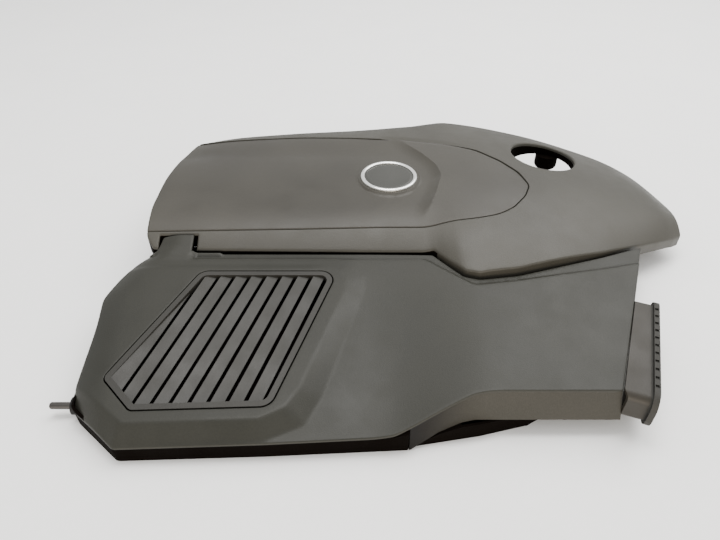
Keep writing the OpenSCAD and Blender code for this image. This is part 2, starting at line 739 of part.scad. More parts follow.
module lower_duct_shell() {
  color(black_plastic)
    difference() {
      union() {
        difference() {
          tray_block(0);
          translate([0, 0, duct_t])
            tray_block(duct_t);
        }
        for (spot = shell_screw_spots)
          translate([spot[0], spot[1], 0])
            cylinder(d = pocket_d, h = pocket_h, $fn = round_fn);
        intersection() {
          translate([pin_at[0] + pin_root, pin_at[1], pin_at[2]])
            rotate([0, -90, 0])
              cylinder(d = bush_d, h = pin_root, $fn = round_fn);
          tray_block(0);
        }
        translate([filter_at[0] - filter_l / 2 - fit - duct_t,
          filter_at[1] - filter_w / 2 - fit - duct_t, duct_t / 2])
          difference() {
            cube([filter_l + 2 * (fit + duct_t), filter_w + 2 * (fit + duct_t), filter_rim + duct_t / 2]);
            translate([duct_t, duct_t, -cut])
              cube([filter_l + 2 * fit, filter_w + 2 * fit, filter_rim + duct_t / 2 + 2 * cut]);
          }
      }
      difference() {
        translate([-far, -far, -cut])
          cube([2 * far, 1.25 * far, tall + 2 * cut]);
        front_skin(-lip_t - fit);
      }
      intersection() {
        translate([0, cover_t + fit, 0])
          facet_cutter();
        rotate([90, 0, 0])
          linear_extrude(300)
            polygon([[skirt_end_x - fit, -2 * cut], [skirt_end_x + skirt_gap, 0],
              [ramp_x[0], ramp_h - 2 * fit], [ramp_x[1], wall_foot_h - fit], [far, wall_foot_h - fit],
              [far, tall], [skirt_end_x - fit, tall]]);
      }
      for (spot = shell_screw_spots)
        translate([spot[0], spot[1], -cut]) {
          cylinder(d = head_d + 4 * fit, h = pocket_h - pocket_floor + cut, $fn = round_fn);
          cylinder(d = screw_d + 2 * slip, h = pocket_h + 2 * cut, $fn = round_fn);
        }
      translate(pin_at)
        rotate([0, -90, 0])
          cylinder(d = bush_d + 2 * slip, h = 12, $fn = round_fn);
      translate([pin_at[0] + pin_root + 5, pin_at[1], pin_at[2]])
        rotate([0, -90, 0])
          cylinder(d = pin_d - 2 * pin_step + 2 * slip, h = pin_root + 13, $fn = round_fn);
      duct_passage(passage_x0, passage_x1);
    }
}

module filter_element() {
  pleats = 12;
  edge = 6;
  pitch = (filter_l - 2 * edge) / pleats;
  color(paper_beige)
    translate([filter_at[0] - filter_l / 2, filter_at[1] - filter_w / 2, duct_t])
      difference() {
        cube([filter_l, filter_w, filter_h]);
        for (i = [0:pleats - 1])
          translate([edge + (i + 0.5) * pitch, edge, 0])
            rotate([-90, 0, 0])
              linear_extrude(filter_w - 2 * edge)
                polygon([[-pitch / 2 + 1, -filter_h - cut], [pitch / 2 - 1, -filter_h - cut],
                  [0.5, -3], [-0.5, -3]]);
      }
}

module duct_sleeve() {
  color(duct_brown)
    difference() {
      duct_prism(duct_w, duct_h, duct_mid_z, mouth_r, -sleeve_len, sleeve_len);
      duct_prism(duct_w - 2 * duct_t, duct_h - 2 * duct_t, duct_mid_z, mouth_r - duct_t, -sleeve_len - cut,
        sleeve_len + cut);
      prism(rounded(cover_corners));
    }
}

module duct_seal() {
  w = duct_w + 2 * seal_rim;
  h = duct_h + 2 * seal_rim;
  color(rubber_grey)
    difference() {
      union() {
        duct_prism(duct_w, duct_h, duct_mid_z, mouth_r, sleeve_len, sleeve_len + 2 * seal_neck);
        duct_prism(w, h, duct_mid_z, seal_corner, sleeve_len + seal_neck, sleeve_len + seal_t);
      }
      duct_prism(duct_w - 2 * duct_t, duct_h - 2 * duct_t, duct_mid_z, mouth_r - duct_t,
        sleeve_len - cut, sleeve_len + seal_t + cut);
      at_duct()
        for (i = [0:notch_count - 1])
          for (side = [-1, 1])
            translate([sleeve_len + seal_neck + notch_edge,
              mix(-0.5, 0.5, (i + 0.5) / notch_count) * (w - 2 * seal_corner) - notch_w / 2,
              duct_mid_z + side * h / 2 - notch_d])
              cube([notch_w, notch_w, 2 * notch_d]);
    }
}

module along_pin() {
  translate(pin_at)
    rotate([0, -90, 0])
      children();
}
module locating_pin() {
  tip = 2;
  shank = pin_d / 2 - pin_step;
  flange = pin_d / 2 + pin_flange;
  color(dark_steel)
    along_pin()
      rotate_extrude($fn = round_fn)
        polygon(concat([[0, -pin_root - pin_flange], [flange, -pin_root - pin_flange],
          [flange, -pin_root], [shank, -pin_root], [shank, bush_h], [pin_d / 2, bush_h]],
          [for (a = [0:15:90]) [pin_d / 2 - tip + tip * cos(a), pin_len + bush_h - tip + tip * sin(a)]],
          [[0, pin_len + bush_h]]));
}
module pin_bush() {
  color(rubber_black)
    along_pin()
      difference() {
        cylinder(d = bush_d, h = bush_h, $fn = round_fn);
        translate([0, 0, -cut])
          cylinder(d = pin_d - 2 * pin_step + 2 * slip, h = bush_h + 2 * cut, $fn = round_fn);
      }
}

module grommet(spot) {
  color(rubber_black)
    translate([spot[0], spot[1], spot[2]])
      difference() {
        cylinder(d = grommet_d, h = grommet_len, $fn = round_fn);
        translate([0, 0, -cut])
          cylinder(d = stud_bore, h = stud_depth + cut, $fn = round_fn);
      }
}
module rear_left_grommet() {
  grommet(rear_left);
}
module rear_right_grommet() {
  grommet(rear_right);
}
module mid_left_grommet() {
  grommet(mid_left);
}
module mid_right_grommet() {
  grommet(mid_right);
}

module acoustic_pad() {
  lowered = recess_d + trim_t + fit + cover_t;
  color(foam_black)
    intersection() {
      prism(rounded([[-262, 66, 10], [60, 66, 10], [60, 132, 20], [-262, 132, 10]]));
      difference() {
        under_pad(-lowered);
        under_pad(-lowered - pad_t);
      }
    }
}
// The same grid lines as the arch, only over the pad
module under_pad(off) {
  under(function(x, y) arch_z(x, y), off, -276.25, 79.25, 50.75, 135.25, 18, 4);
}

module trim_clips() {
  color(bright_metal)
    for (spot = clip_spots)
      translate([spot[0], spot[1], blade_foot(spot)])
        difference() {
          translate([-blade_w / 2 + 2, -blade_t / 2 - clip_t, -clip_t])
            cube([blade_w - 4, blade_t + 2 * clip_t, clip_top(spot) - blade_foot(spot) + clip_t]);
          translate([-blade_w / 2, -blade_t / 2, 0])
            cube([blade_w, blade_t, blade_below]);
        }
}

module screw(len) {
  rotate_extrude($fn = round_fn)
    polygon([[0, -head_h], [head_d / 2 - 0.6, -head_h], [head_d / 2, -head_h + 0.8], [head_d / 2, 0],
      [screw_d / 2, 0], [screw_d / 2, len - 1], [screw_d / 2 - 0.8, len], [0, len]]);
}
module shell_screws() {
  color(bright_metal)
    for (spot = shell_screw_spots)
      translate([spot[0], spot[1], pocket_h - pocket_floor])
        screw(shell_screw_len);
}
module cover_screws() {
  color(bright_metal)
    for (spot = cover_screw_spots)
      translate([spot[0], spot[1], flange_z])
        screw(cover_screw_len);
}

upper_cover();
trim_panel();
badge_ring();
badge_face();
front_cover();
grille_insert();
lower_duct_shell();
duct_sleeve();
duct_seal();
locating_pin();
pin_bush();
rear_left_grommet();
rear_right_grommet();
mid_left_grommet();
mid_right_grommet();
acoustic_pad();
trim_clips();
shell_screws();
cover_screws();
filter_element();
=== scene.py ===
import math

import bpy
import numpy as np
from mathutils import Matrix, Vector, geometry


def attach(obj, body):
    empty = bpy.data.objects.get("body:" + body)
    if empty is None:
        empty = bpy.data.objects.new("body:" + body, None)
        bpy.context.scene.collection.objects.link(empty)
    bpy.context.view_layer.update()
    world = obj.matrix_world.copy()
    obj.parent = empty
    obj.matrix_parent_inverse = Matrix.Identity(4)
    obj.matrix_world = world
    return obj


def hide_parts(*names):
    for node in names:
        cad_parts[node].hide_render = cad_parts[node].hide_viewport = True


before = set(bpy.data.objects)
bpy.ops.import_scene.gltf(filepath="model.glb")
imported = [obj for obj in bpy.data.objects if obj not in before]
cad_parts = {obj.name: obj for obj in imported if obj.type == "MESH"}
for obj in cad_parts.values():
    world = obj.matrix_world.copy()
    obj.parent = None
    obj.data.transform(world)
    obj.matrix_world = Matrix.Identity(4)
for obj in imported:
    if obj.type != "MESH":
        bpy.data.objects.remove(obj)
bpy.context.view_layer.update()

# Sizes, in millimetres. Places are in the frame's axes, where x is right, y is back and z is up
CREST_H, ARCH_FALL, REAR_FALL, NOSE_FALL = 78.0, 29.0, 14.0, 50.0
COVER_T, SKIRT_H = 2.6, 17.0
DECK_H, LIP_H, SHOULDER_H = 49.5, 20.0, 46.0
PLATEAU_REAR_H, PLATEAU_FRONT_H = 50.5, 31.0
LEDGE_DROP, LIP_T, WALL_FOOT_H = 3.0, 2.5, 18.0
RECESS_D, REAR_FADE, TRIM_T, SEAM, FIT = 6.0, 0.85, 2.4, 0.8, 0.4
FILLER_D, COLLAR_H, FILLER_AT = 82.0, 20.0, (188.0, 153.0)
DECK_Y, LIP_Y, SLOPE_RUN = -41.0, -240.0, 196.0
ROLL_W, ROLL_DROP = 30.0, 6.0
WALL_Y, FACET_LEAN = -225.0, 9.0
POCKET = RECESS_D + TRIM_T + FIT
BADGE_AT, BADGE_SEAT_Z, BADGE_SEAT_R = (-16.0, 86.0), 73.0, 36.5
GROMMET_R, GROMMET_LEN, TOWER_R = 8.8, 13.0, 15.0
FLANGE_Z, FLANGE_T = 25.5, 2.5
FILLER_R = FILLER_D / 2
# The power of the arch's fall to the front, and how far past its guide lines it goes on
ARCH_BEND, ARCH_REACH = 2.3, 1.4
# Share by which the skirt is lower under the nose, and where the nose and the front shoulder rise along x
NOSE_SKIRT_CUT, NOSE_X, SHOULDER_X = 0.28, (200, 310), (-45, 70)
# Where the trim panel's recess deepens behind its front seam and fades out before its rear seam, along y
RECESS_FRONT, RECESS_REAR = (-6, 60), (140, 198)

# Guide lines: a station and the value there
CREST_SHARE = [(-290, 0), (-60, 0), (80, .02), (160, .12), (220, .26), (270, .42), (305, .58), (330, .8)]
CREST_Y = [(-290, 82), (100, 82), (200, 78), (270, 70), (330, 56)]
FRONT_Y = [(-290, -28), (8, -28.2), (21, -29.6), (33, -36.4), (45, -47.8), (57, -60), (72, -67.5),
           (90, -67.5), (114, -63), (160, -50), (210, -35), (294, 4), (330, 24)]
FRONT_SHARE = [(-290, 1), (10, 1), (28, .985), (60, .86), (110, .74), (160, .62), (210, .56),
               (270, .52), (305, .5), (330, .4)]
REAR_Y = [(-290, 180), (-216, 205), (-135, 219), (-51, 228), (60, 254), (121, 242), (200, 212), (271, 169),
          (301, 136), (316, 112), (330, 80)]
REAR_SHARE = [(-290, 1), (100, 1), (220, .8), (300, .45), (330, .3)]
LEFT_X = [(-225, -298), (-160, -304), (-95, -310), (-68, -301), (-48, -291), (-24, -272)]

# Outlines and lines in plan: x, y and the corner's radius. What is closed runs anticlockwise
UPPER = [(-277, -25, 4), (-271, -26, .6), (-271, -11, 1), (-229, -11, 1), (-229, -27, .6),
         (29, -29, 6), (59, -64, 8), (73, -69, 12), (114, -63, 60), (159, -49, 150), (208, -34, 150),
         (261, -12, 150), (294, 4, 150), (315, 16, 40), (328, 25, 7), (329, 62, 120), (325, 84, 80),
         (302, 137, 90), (271, 171, 120), (200, 213, 300), (121, 243, 300), (66, 254.5, 30), (22, 238, 30),
         (-51, 229, 300), (-135, 219, 300), (-216, 206, 200), (-271, 190, 9), (-281, 137, 200),
         (-286, 82, 200), (-288, 30, 120), (-286, -12, 20)]
TRIM = [(-300, -8, 0), (-117, -5, 300), (-29, -3, 300), (26, -3, 200), (76, 1, 120), (105, 9, 60),
        (124, 23, 40), (141, 45, 40), (151, 68, 24), (144, 98, 40), (126, 126, 50), (99, 154, 40),
        (68, 168, 60), (35, 176, 100), (3, 185, 200), (-65, 196, 300), (-133, 199, 300), (-300, 187, 0)]
STEP = [(12, -20, 0), (21, 10, 40), (37, 46, 60), (47, 84, 30), (44, 108, 60), (27, 142, 60), (5, 177, 40),
        (-14, 210, 0)]
FRONT_EDGE = [(-304, -214, 10), (-256, -253.5, 8), (-130, -249.2, 200), (-22, -243.6, 30)]
LEDGE_BACK = [(259, -19, 1), (208, -37, 100), (159, -52, 100), (114, -66, 60), (73, -72, 12),
              (57, -67, 8), (28, -32.5, 6), (-229, -32, 1)]
TONGUE = [(-232.5, -32, 0), (-232.5, -13, 2), (-267, -13, 2)]
LEFT_EDGE = [(-272, -30, 5), (-279, -34, 12), (-291, -47, 25), (-302, -68, 30), (-311, -95, 25),
             (-306, -130, 200)]
LEDGE = [(262, -40, 0), (246, -48, 20), (201, -58, 100), (157, -66, 100), (113, -75, 60), (66, -82, 12),
         (44, -63, 12), (19, -41.5, 10), (-229, -41.5, 1), (-229, -20, 0)]
# The bevel's outer and inner line, with sharp corners: x and y
BEVEL_OUT = [(-350, -177), (-256, -252.4), (-132, -247), (-98, -233), (-84, -205), (-46, -85),
             (-45, -68), (-54, -50), (-68, -38), (-350, -38)]
BEVEL_IN = [(-350, -160), (-251, -237), (-137, -233), (-116, -222), (-104, -203), (-66, -88),
            (-66, -76), (-72, -62), (-84, -54), (-350, -54)]
# The grille's opening, measured on the slope, and the flange: x, y and the corner's radius
GRILLE = [(-217, -61, 14), (-280, -194, 8), (-247, -227, 8), (-127, -223, 14), (-73, -61, 14)]
FLANGE = [(-268, -35, 1), (24, -36, 1), (54, -70, 4), (73, -75, 6), (114, -69, 10), (159, -55, 10),
          (208, -40, 10), (250, -26, 2), (240, 6, 6), (-268, 6, 6)]
# Ball-stud towers: x, y and the socket's foot. Screw bosses: x and y
TOWERS = [(-232, 150, 0), (208, 194, 26), (-120, 40, 12), (214, 40, 0)]
BOSSES = [(-190, -6), (-70, -6), (90, -10), (200, -10)]


# Height functions
def along(line, x):
    """Smooth curve through a guide line's stations."""
    p = np.array(line, float)
    xs, ys = p[:, 0], p[:, 1]
    rate = np.zeros(len(xs))
    rate[1:-1] = (ys[2:] - ys[:-2]) / (xs[2:] - xs[:-2])
    rate[-1] = (ys[-1] - ys[-2]) / (xs[-1] - xs[-2])
    x = np.clip(x, xs[0], xs[-1])
    i = np.clip(np.searchsorted(xs, x, side="right") - 1, 0, len(xs) - 2)
    h = xs[i + 1] - xs[i]
    t = (x - xs[i]) / h
    return ((2 * t**3 - 3 * t**2 + 1) * ys[i] + (t**3 - 2 * t**2 + t) * h * rate[i]
            + (3 * t**2 - 2 * t**3) * ys[i + 1] + (t**3 - t**2) * h * rate[i + 1])


def ease(a, b, x):
    """0 before a, 1 past b, smooth between them."""
    t = np.clip((x - a) / (b - a), 0, 1)
    return t * t * (3 - 2 * t)


def arch(x, y):
    """Top of the upper cover."""
    top = CREST_H - NOSE_FALL * along(CREST_SHARE, x)
    mid = along(CREST_Y, x)
    front = np.clip((mid - y) / (mid - along(FRONT_Y, x)), 0, ARCH_REACH)
    rear = np.clip((y - mid) / (along(REAR_Y, x) - mid), 0, ARCH_REACH)
    return np.where(y < mid, top - ARCH_FALL * along(FRONT_SHARE, x) * front**ARCH_BEND,
                    top - REAR_FALL * along(REAR_SHARE, x) * rear**2)


def skirt(x, y):
    """Foot of the upper cover's walls."""
    return arch(x, y) - SKIRT_H * (1 - NOSE_SKIRT_CUT * ease(*NOSE_X, x))


def recess(y):
    """How deep the trim panel's left zone lies below the arch."""
    return RECESS_D * ease(*RECESS_FRONT, y) * (1 - REAR_FADE * ease(*RECESS_REAR, y))


def left_roll(x, y):
    """Fall of the front cover towards its left edge."""
    return ROLL_DROP * np.maximum(0, (along(LEFT_X, y) + ROLL_W - x) / ROLL_W) ** 2


def deck(x, y):
    """Top of the front cover round its plateau."""
    front = LIP_H + (SHOULDER_H - LIP_H) * ease(*SHOULDER_X, x)
    return DECK_H + (front - DECK_H) * (DECK_Y - y) / (DECK_Y - LIP_Y) - left_roll(x, y)


def plateau(x, y):
    """Top of the raised field that carries the grille."""
    slope = (PLATEAU_FRONT_H - PLATEAU_REAR_H) * (DECK_Y - y) / SLOPE_RUN
    return PLATEAU_REAR_H + slope - left_roll(x, y)


# Outlines and meshes in plan
def corner(a, b, c, r, step=4.0):
    """Points of the arc of radius r at corner b, one for about each step degrees."""
    a, b, c = (np.array(p[:2], float) for p in (a, b, c))
    u, w = (a - b) / np.linalg.norm(a - b), (c - b) / np.linalg.norm(c - b)
    turn = 180 - math.degrees(math.acos(max(-1, min(1, float(u @ w)))))
    if turn < 1 or r == 0:
        return [b]
    half = math.tan(math.radians(turn / 2))
    t = min(r * half, 0.49 * min(np.linalg.norm(a - b), np.linalg.norm(c - b)))
    rr = t / half
    m = u + w
    mid = b + m / np.linalg.norm(m) * rr / math.cos(math.radians(turn / 2))
    start = b + u * t - mid
    s0 = math.atan2(start[1], start[0])
    way = 1 if (b - a)[0] * (c - b)[1] - (b - a)[1] * (c - b)[0] > 0 else -1
    n = max(1, math.ceil(turn / step))
    return [mid + rr * np.array([math.cos(s0 + way * math.radians(turn) * k / n),
                                 math.sin(s0 + way * math.radians(turn) * k / n)]) for k in range(n + 1)]


def rounded(p, closed=True):
    """The outline with its corners rounded."""
    n = len(p)
    out = []
    for i in range(n):
        if not closed and i in (0, n - 1):
            out.append(np.array(p[i][:2], float))
        else:
            out += corner(p[i - 1], p[i], p[(i + 1) % n], p[i][2])
    return np.array(out)


def inset(p, d):
    """The same outline moved inwards by d."""
    n = len(p)
    out = []
    for i in range(n):
        a, b, c = (np.array(p[k % n][:2], float) for k in (i - 1, i, i + 1))
        u, w = (b - a) / np.linalg.norm(b - a), (c - b) / np.linalg.norm(c - b)
        nu = np.array([-u[1], u[0]])
        m = nu + np.array([-w[1], w[0]])
        m /= np.linalg.norm(m)
        way = -1 if u[0] * w[1] - u[1] * w[0] > 0 else 1
        q = b + m * d / max(0.4, float(m @ nu))
        out.append((q[0], q[1], 0 if p[i][2] == 0 else max(0, p[i][2] + way * d)))
    return rounded(out)


def dense(line, step, closed=True):
    """The line with its long stretches divided."""
    pts = list(line) + ([line[0]] if closed else [])
    out = []
    for a, b in zip(pts[:-1], pts[1:]):
        n = max(1, math.ceil(np.linalg.norm(b - a) / step))
        out += [a + (b - a) * k / n for k in range(n)]
    if not closed:
        out.append(pts[-1])
    return np.array(out)


def circle(at, r, n=96):
    """n points round a centre."""
    a = np.arange(n) * 2 * math.pi / n
    return np.column_stack([at[0] + r * np.cos(a), at[1] + r * np.sin(a)])


def inside(loop, pts):
    """Which points lie inside a closed outline."""
    x, y = pts[:, 0], pts[:, 1]
    out = np.zeros(len(pts), bool)
    q = np.roll(loop, -1, axis=0)
    for (ax, ay), (bx, by) in zip(loop, q):
        if ay == by:
            continue
        hit = (ay > y) != (by > y)
        out ^= hit & (x < (bx - ax) * (y - ay) / (by - ay) + ax)
    return out


def distance(line, pts, closed=True):
    """How far each point is from a line in plan."""
    p = np.asarray(line, float)
    q = np.roll(p, -1, axis=0) if closed else p[1:]
    p = p if closed else p[:-1]
    best = np.full(len(pts), 1e9)
    for a, b in zip(p, q):
        d = b - a
        t = np.clip(((pts - a) @ d) / max(1e-12, float(d @ d)), 0, 1)
        best = np.minimum(best, ((pts - a - t[:, None] * d) ** 2).sum(1))
    return np.sqrt(best)


def normals(line):
    """Unit vectors to the left of an open line, one at each of its points."""
    d = np.gradient(line, axis=0)
    return np.column_stack([-d[:, 1], d[:, 0]]) / np.maximum(1e-9, np.linalg.norm(d, axis=1))[:, None]


def grid(lo, hi, step):
    """Points in rows, each second row moved by half a step."""
    rows = []
    for k, y in enumerate(np.arange(lo[1], hi[1], step * 0.87)):
        xs = np.arange(lo[0] + (k % 2) * step / 2, hi[0], step)
        rows.append(np.column_stack([xs, np.full(len(xs), y)]))
    return np.vstack(rows)


def thin(pts, gap):
    """Drops points that nearly repeat an earlier one."""
    seen, out = set(), []
    for p in pts:
        key = (round(p[0] / gap), round(p[1] / gap))
        if key not in seen:
            seen.add(key)
            out.append(p)
    return np.array(out)


def triangulate(loops, lines, free, keep):
    """Triangles over closed loops, open lines and free points; keep says which middles stay."""
    pts, edges = [], []
    for loop in loops:
        n0 = len(pts)
        pts += [Vector(p) for p in loop]
        edges += [(n0 + i, n0 + (i + 1) % len(loop)) for i in range(len(loop))]
    for line in lines:
        n0 = len(pts)
        pts += [Vector(p) for p in line]
        edges += [(n0 + i, n0 + i + 1) for i in range(len(line) - 1)]
    pts += [Vector(p) for p in free]
    v, _, f, *_ = geometry.delaunay_2d_cdt(pts, edges, [], 0, 1e-4)
    v = np.array([[p.x, p.y] for p in v])
    f = np.array([t for t in f if len(t) == 3])
    area = np.cross(v[f[:, 1]] - v[f[:, 0]], v[f[:, 2]] - v[f[:, 0]])
    f[area < 0] = f[area < 0][:, ::-1]
    f = f[(np.abs(area) > 1e-5) & keep(v[f].mean(axis=1))]
    return v, f


def rim_edges(f):
    """Edges that only one triangle has, each with that triangle on its left."""
    sides = [(t[i], t[(i + 1) % 3]) for t in f for i in range(3)]
    known = set(sides)
    return [(a, b) for a, b in dict.fromkeys(sides) if (b, a) not in known]


def middles(v, edges):
    """The middle of each edge."""
    return np.array([(v[a] + v[b]) / 2 for a, b in edges])


def chosen(edges, mask, turned=False):
    """The edges that a mask picks, as they are or with their ends swapped."""
    return [e[::-1] if turned else e for e, m in zip(edges, mask) if m]


WALL_STEPS = 4          # rows of faces in a hanging wall


class Build:
    """Collects faces in millimetres and welds their corners."""

    def __init__(self):
        self.v, self.f, self.index, self.slots, self.slot = [], [], {}, [], 0

    def point(self, p):
        """Index of the corner at p, to a thousandth of a millimetre."""
        key = (round(float(p[0]), 3), round(float(p[1]), 3), round(float(p[2]), 3))
        if key not in self.index:
            self.index[key] = len(self.v)
            self.v.append(key)
        return self.index[key]

    def face(self, pts):
        """One face; corners that fall together count once, and fewer than three give none."""
        ids = []
        for p in pts:
            i = self.point(p)
            if i not in ids:
                ids.append(i)
        if len(ids) > 2:
            self.f.append(ids)
            self.slots.append(self.slot)

    def surface(self, v, f, z, up=True):
        """Plan triangles lifted to the heights z."""
        p = np.column_stack([v, z])
        for t in f:
            self.face(p[t] if up else p[t[::-1]])

    def drop(self, v, edges, top, bottom, steps=1):
        """Walls below a surface's rim."""
        for a, b in edges:
            for k in range(steps):
                s, e = k / steps, (k + 1) / steps
                za = [top[i] + (bottom[i] - top[i]) * t for i, t in ((a, s), (b, s), (b, e), (a, e))]
                self.face([(*v[a], za[0]), (*v[a], za[3]), (*v[b], za[2]), (*v[b], za[1])])

    def hang(self, rim, feet, thick):
        """A wall from a rim's points down to their feet, thickened to its left."""
        top, foot = np.array(rim), np.array(feet)
        side = np.column_stack([normals(foot[:, :2]) * thick, np.zeros(len(foot))])
        top_in, foot_in = top + side, foot + side
        fall = foot - top
        for i, j in zip(range(len(top) - 1), range(1, len(top))):
            for k in range(WALL_STEPS):
                s, e = k / WALL_STEPS, (k + 1) / WALL_STEPS
                self.face([top[i] + fall[i] * s, top[i] + fall[i] * e,
                           top[j] + fall[j] * e, top[j] + fall[j] * s])
            self.face([foot[i], foot_in[i], foot_in[j], foot[j]])
            self.face([foot_in[i], top_in[i], top_in[j], foot_in[j]])

    def lathe(self, at, profile, n=48, top=None):
        """Turned surface; where top is given, the last ring's heights come from it."""
        ang = np.arange(n) * 2 * math.pi / n
        rings = []
        for k, (r, z) in enumerate(profile):
            x, y = at[0] + r * np.cos(ang), at[1] + r * np.sin(ang)
            zz = top(x, y) if top is not None and k == len(profile) - 1 else np.full(n, float(z))
            rings.append(np.column_stack([x, y, zz]))
        for p, q in zip(rings[:-1], rings[1:]):
            for i in range(n):
                j = (i + 1) % n
                self.face([p[i], p[j], q[j], q[i]])

    def make(self, name, materials, sharp=32.0):
        """The faces as one object, in metres; edges turned more than sharp degrees stay sharp."""
        mesh = bpy.data.meshes.new(name)
        pts = np.array(self.v, float) * 0.001
        mesh.from_pydata([tuple(p) for p in pts], [], self.f)
        for material in materials:
            mesh.materials.append(material)
        mesh.polygons.foreach_set("material_index", self.slots)
        mesh.validate()
        mesh.update()
        mesh.shade_smooth()
        mesh.set_sharp_from_angle(angle=math.radians(sharp))
        obj = bpy.data.objects.new(name, mesh)
        bpy.context.scene.collection.objects.link(obj)
        return obj


def fillet(d, r):
    """Fall of a rounded edge at distance d inside it."""
    q = np.clip(r - d, 0, r)
    return r - np.sqrt(np.maximum(0, r * r - q * q))


# Places across a rounded edge, as shares of its radius
FILLET_STEPS = (0.0, 0.06, 0.234, 0.5, 0.75, 1.0)


# Materials
def plastic(name, base, shift=0.12, rough=0.48, grain=0.05, scale=900.0, spec=0.45, metal=0.0, tint=None,
            rough_shift=0.08, spread=9.0, smudge=0.10, fade=None):
    """Moulded plastic, rubber or metal: colour drift, fine mould grain and uneven gloss.

    fade is a dark colour of painted shade, and the two x values, in metres, between which it gives way to the
    base colour.
    """
    m = bpy.data.materials.new(name)
    m.use_nodes = True
    nt = m.node_tree
    nt.nodes.clear()
    new, link = nt.nodes.new, nt.links.new
    out, bsdf, tex = (new("ShaderNode" + kind) for kind in ("OutputMaterial", "BsdfPrincipled", "TexCoord"))
    link(bsdf.outputs[0], out.inputs[0])

    def noise(density, detail):
        node = new("ShaderNodeTexNoise")
        node.inputs["Scale"].default_value = density
        node.inputs["Detail"].default_value = detail
        link(tex.outputs["Object"], node.inputs["Vector"])
        return node.outputs["Fac"]

    def ramp(value, spots, colours):
        node = new("ShaderNodeValToRGB")
        for element, spot, colour in zip(node.color_ramp.elements, spots, colours):
            element.position = spot
            element.color = (*colour, 1)
        link(value, node.inputs[0])
        return node.outputs[0]

    def mapped(value, source, target, kind="LINEAR"):
        node = new("ShaderNodeMapRange")
        node.interpolation_type = kind
        node.inputs["From Min"].default_value, node.inputs["From Max"].default_value = source
        node.inputs["To Min"].default_value, node.inputs["To Max"].default_value = target
        link(value, node.inputs["Value"])
        return node.outputs[0]

    def mix(kind):
        """A colour mixer; its colours are inputs 6 and 7, its result is output 2."""
        node = new("ShaderNodeMix")
        node.data_type = "RGBA"
        node.blend_type = kind
        return node

    low = tuple(c * (1 - shift) for c in base)
    high = tuple(min(1, c * (1 + shift)) for c in (tint or base))
    speckled = mix("MULTIPLY")
    speckled.inputs["Factor"].default_value = 1.0
    link(ramp(noise(spread, 5.0), (0.34, 0.66), (low, high)), speckled.inputs[6])
    link(ramp(noise(scale * 0.6, 2.0), (0.35, 0.65), ((1 - smudge,) * 3, (1, 1, 1))), speckled.inputs[7])
    paint = speckled.outputs[2]
    # painted shade: towards low object x the colour gives way to fade's dark colour
    if fade:
        dark, *span = fade
        place, faded = new("ShaderNodeSeparateXYZ"), mix("MIX")
        link(tex.outputs["Object"], place.inputs[0])
        link(mapped(place.outputs["X"], span, (0, 1), "SMOOTHSTEP"), faded.inputs["Factor"])
        faded.inputs[6].default_value = (*dark, 1)
        link(paint, faded.inputs[7])
        paint = faded.outputs[2]
    link(paint, bsdf.inputs["Base Color"])
    gloss = mapped(noise(spread * 4, 6.0), (0.3, 0.7), (rough - rough_shift, rough + rough_shift))
    link(gloss, bsdf.inputs["Roughness"])
    bump = new("ShaderNodeBump")
    bump.inputs["Strength"].default_value = grain
    bump.inputs["Distance"].default_value = 0.0006
    link(noise(scale, 3.0), bump.inputs["Height"])
    link(bump.outputs[0], bsdf.inputs["Normal"])
    bsdf.inputs["Specular IOR Level"].default_value = spec
    bsdf.inputs["Metallic"].default_value = metal
    return m


# BLACK is the lower duct shell's black plastic, and painted shade on the covers: the slit, the lip, the
# grille opening, the collar's bore, the insides and the duct wall's left end
BLACK = (0.0026, 0.0017, 0.0012)
cover_mat = plastic("cover_plastic", (0.0370, 0.0346, 0.0275), tint=(0.0394, 0.0370, 0.030), rough=0.46,
                    grain=0.22, spec=0.31, rough_shift=0.05)
front_mat = plastic("front_plastic", (0.0195, 0.0195, 0.0152), tint=(0.0213, 0.0210, 0.0168), rough=0.46,
                    grain=0.22, spec=0.25, rough_shift=0.05)
trim_mat = plastic("trim_plastic", (0.0345, 0.0317, 0.0256), tint=(0.0372, 0.0344, 0.028), rough=0.46,
                   grain=0.16, spec=0.32, rough_shift=0.05)
# plastic of the front cover's walls: painted light, lighter than front_plastic of the same cover, and painted
# shade that darkens it to BLACK towards the left, between x -14 and 62 mm
lit_and_shaded_wall_mat = plastic("wall_plastic_painted_light_and_shade", (0.040, 0.038, 0.032), rough=0.5, grain=0.22, spec=0.12,
                   fade=(BLACK, -0.014, 0.062))
grille_mat = plastic("grille_plastic", (0.0225, 0.0215, 0.0185), rough=0.48, grain=0.2, spec=0.28)
black_and_shade_mat = plastic("black_plastic", BLACK, rough=0.8, grain=0.3, spec=0.02)
duct_mat = plastic("duct_plastic", (0.022, 0.019, 0.014), rough=0.48, grain=0.15, spec=0.30)
seal_mat = plastic("seal_rubber", (0.030, 0.029, 0.026), rough=0.62, grain=0.3, spec=0.2)
rubber_mat = plastic("black_rubber", (0.006, 0.006, 0.006), rough=0.62, grain=0.3, spec=0.25)
chrome_mat = plastic("bright_trim", (0.95, 0.95, 0.92), shift=0.02, rough=0.26, grain=0.02, metal=1.0,
                     smudge=0.03, rough_shift=0.05)
face_mat = plastic("badge_plastic", (0.036, 0.036, 0.032), rough=0.42, grain=0.1, spec=0.36)
steel_mat = plastic("steel", (0.085, 0.080, 0.076), rough=0.42, grain=0.08, metal=1.0, smudge=0.08)
foam_mat = plastic("foam", (0.025, 0.025, 0.025), rough=0.9, grain=0.8, scale=420, spec=0.1)
paper_mat = plastic("filter_paper", (0.62, 0.56, 0.42), rough=0.8, grain=0.4, scale=500, spec=0.2)
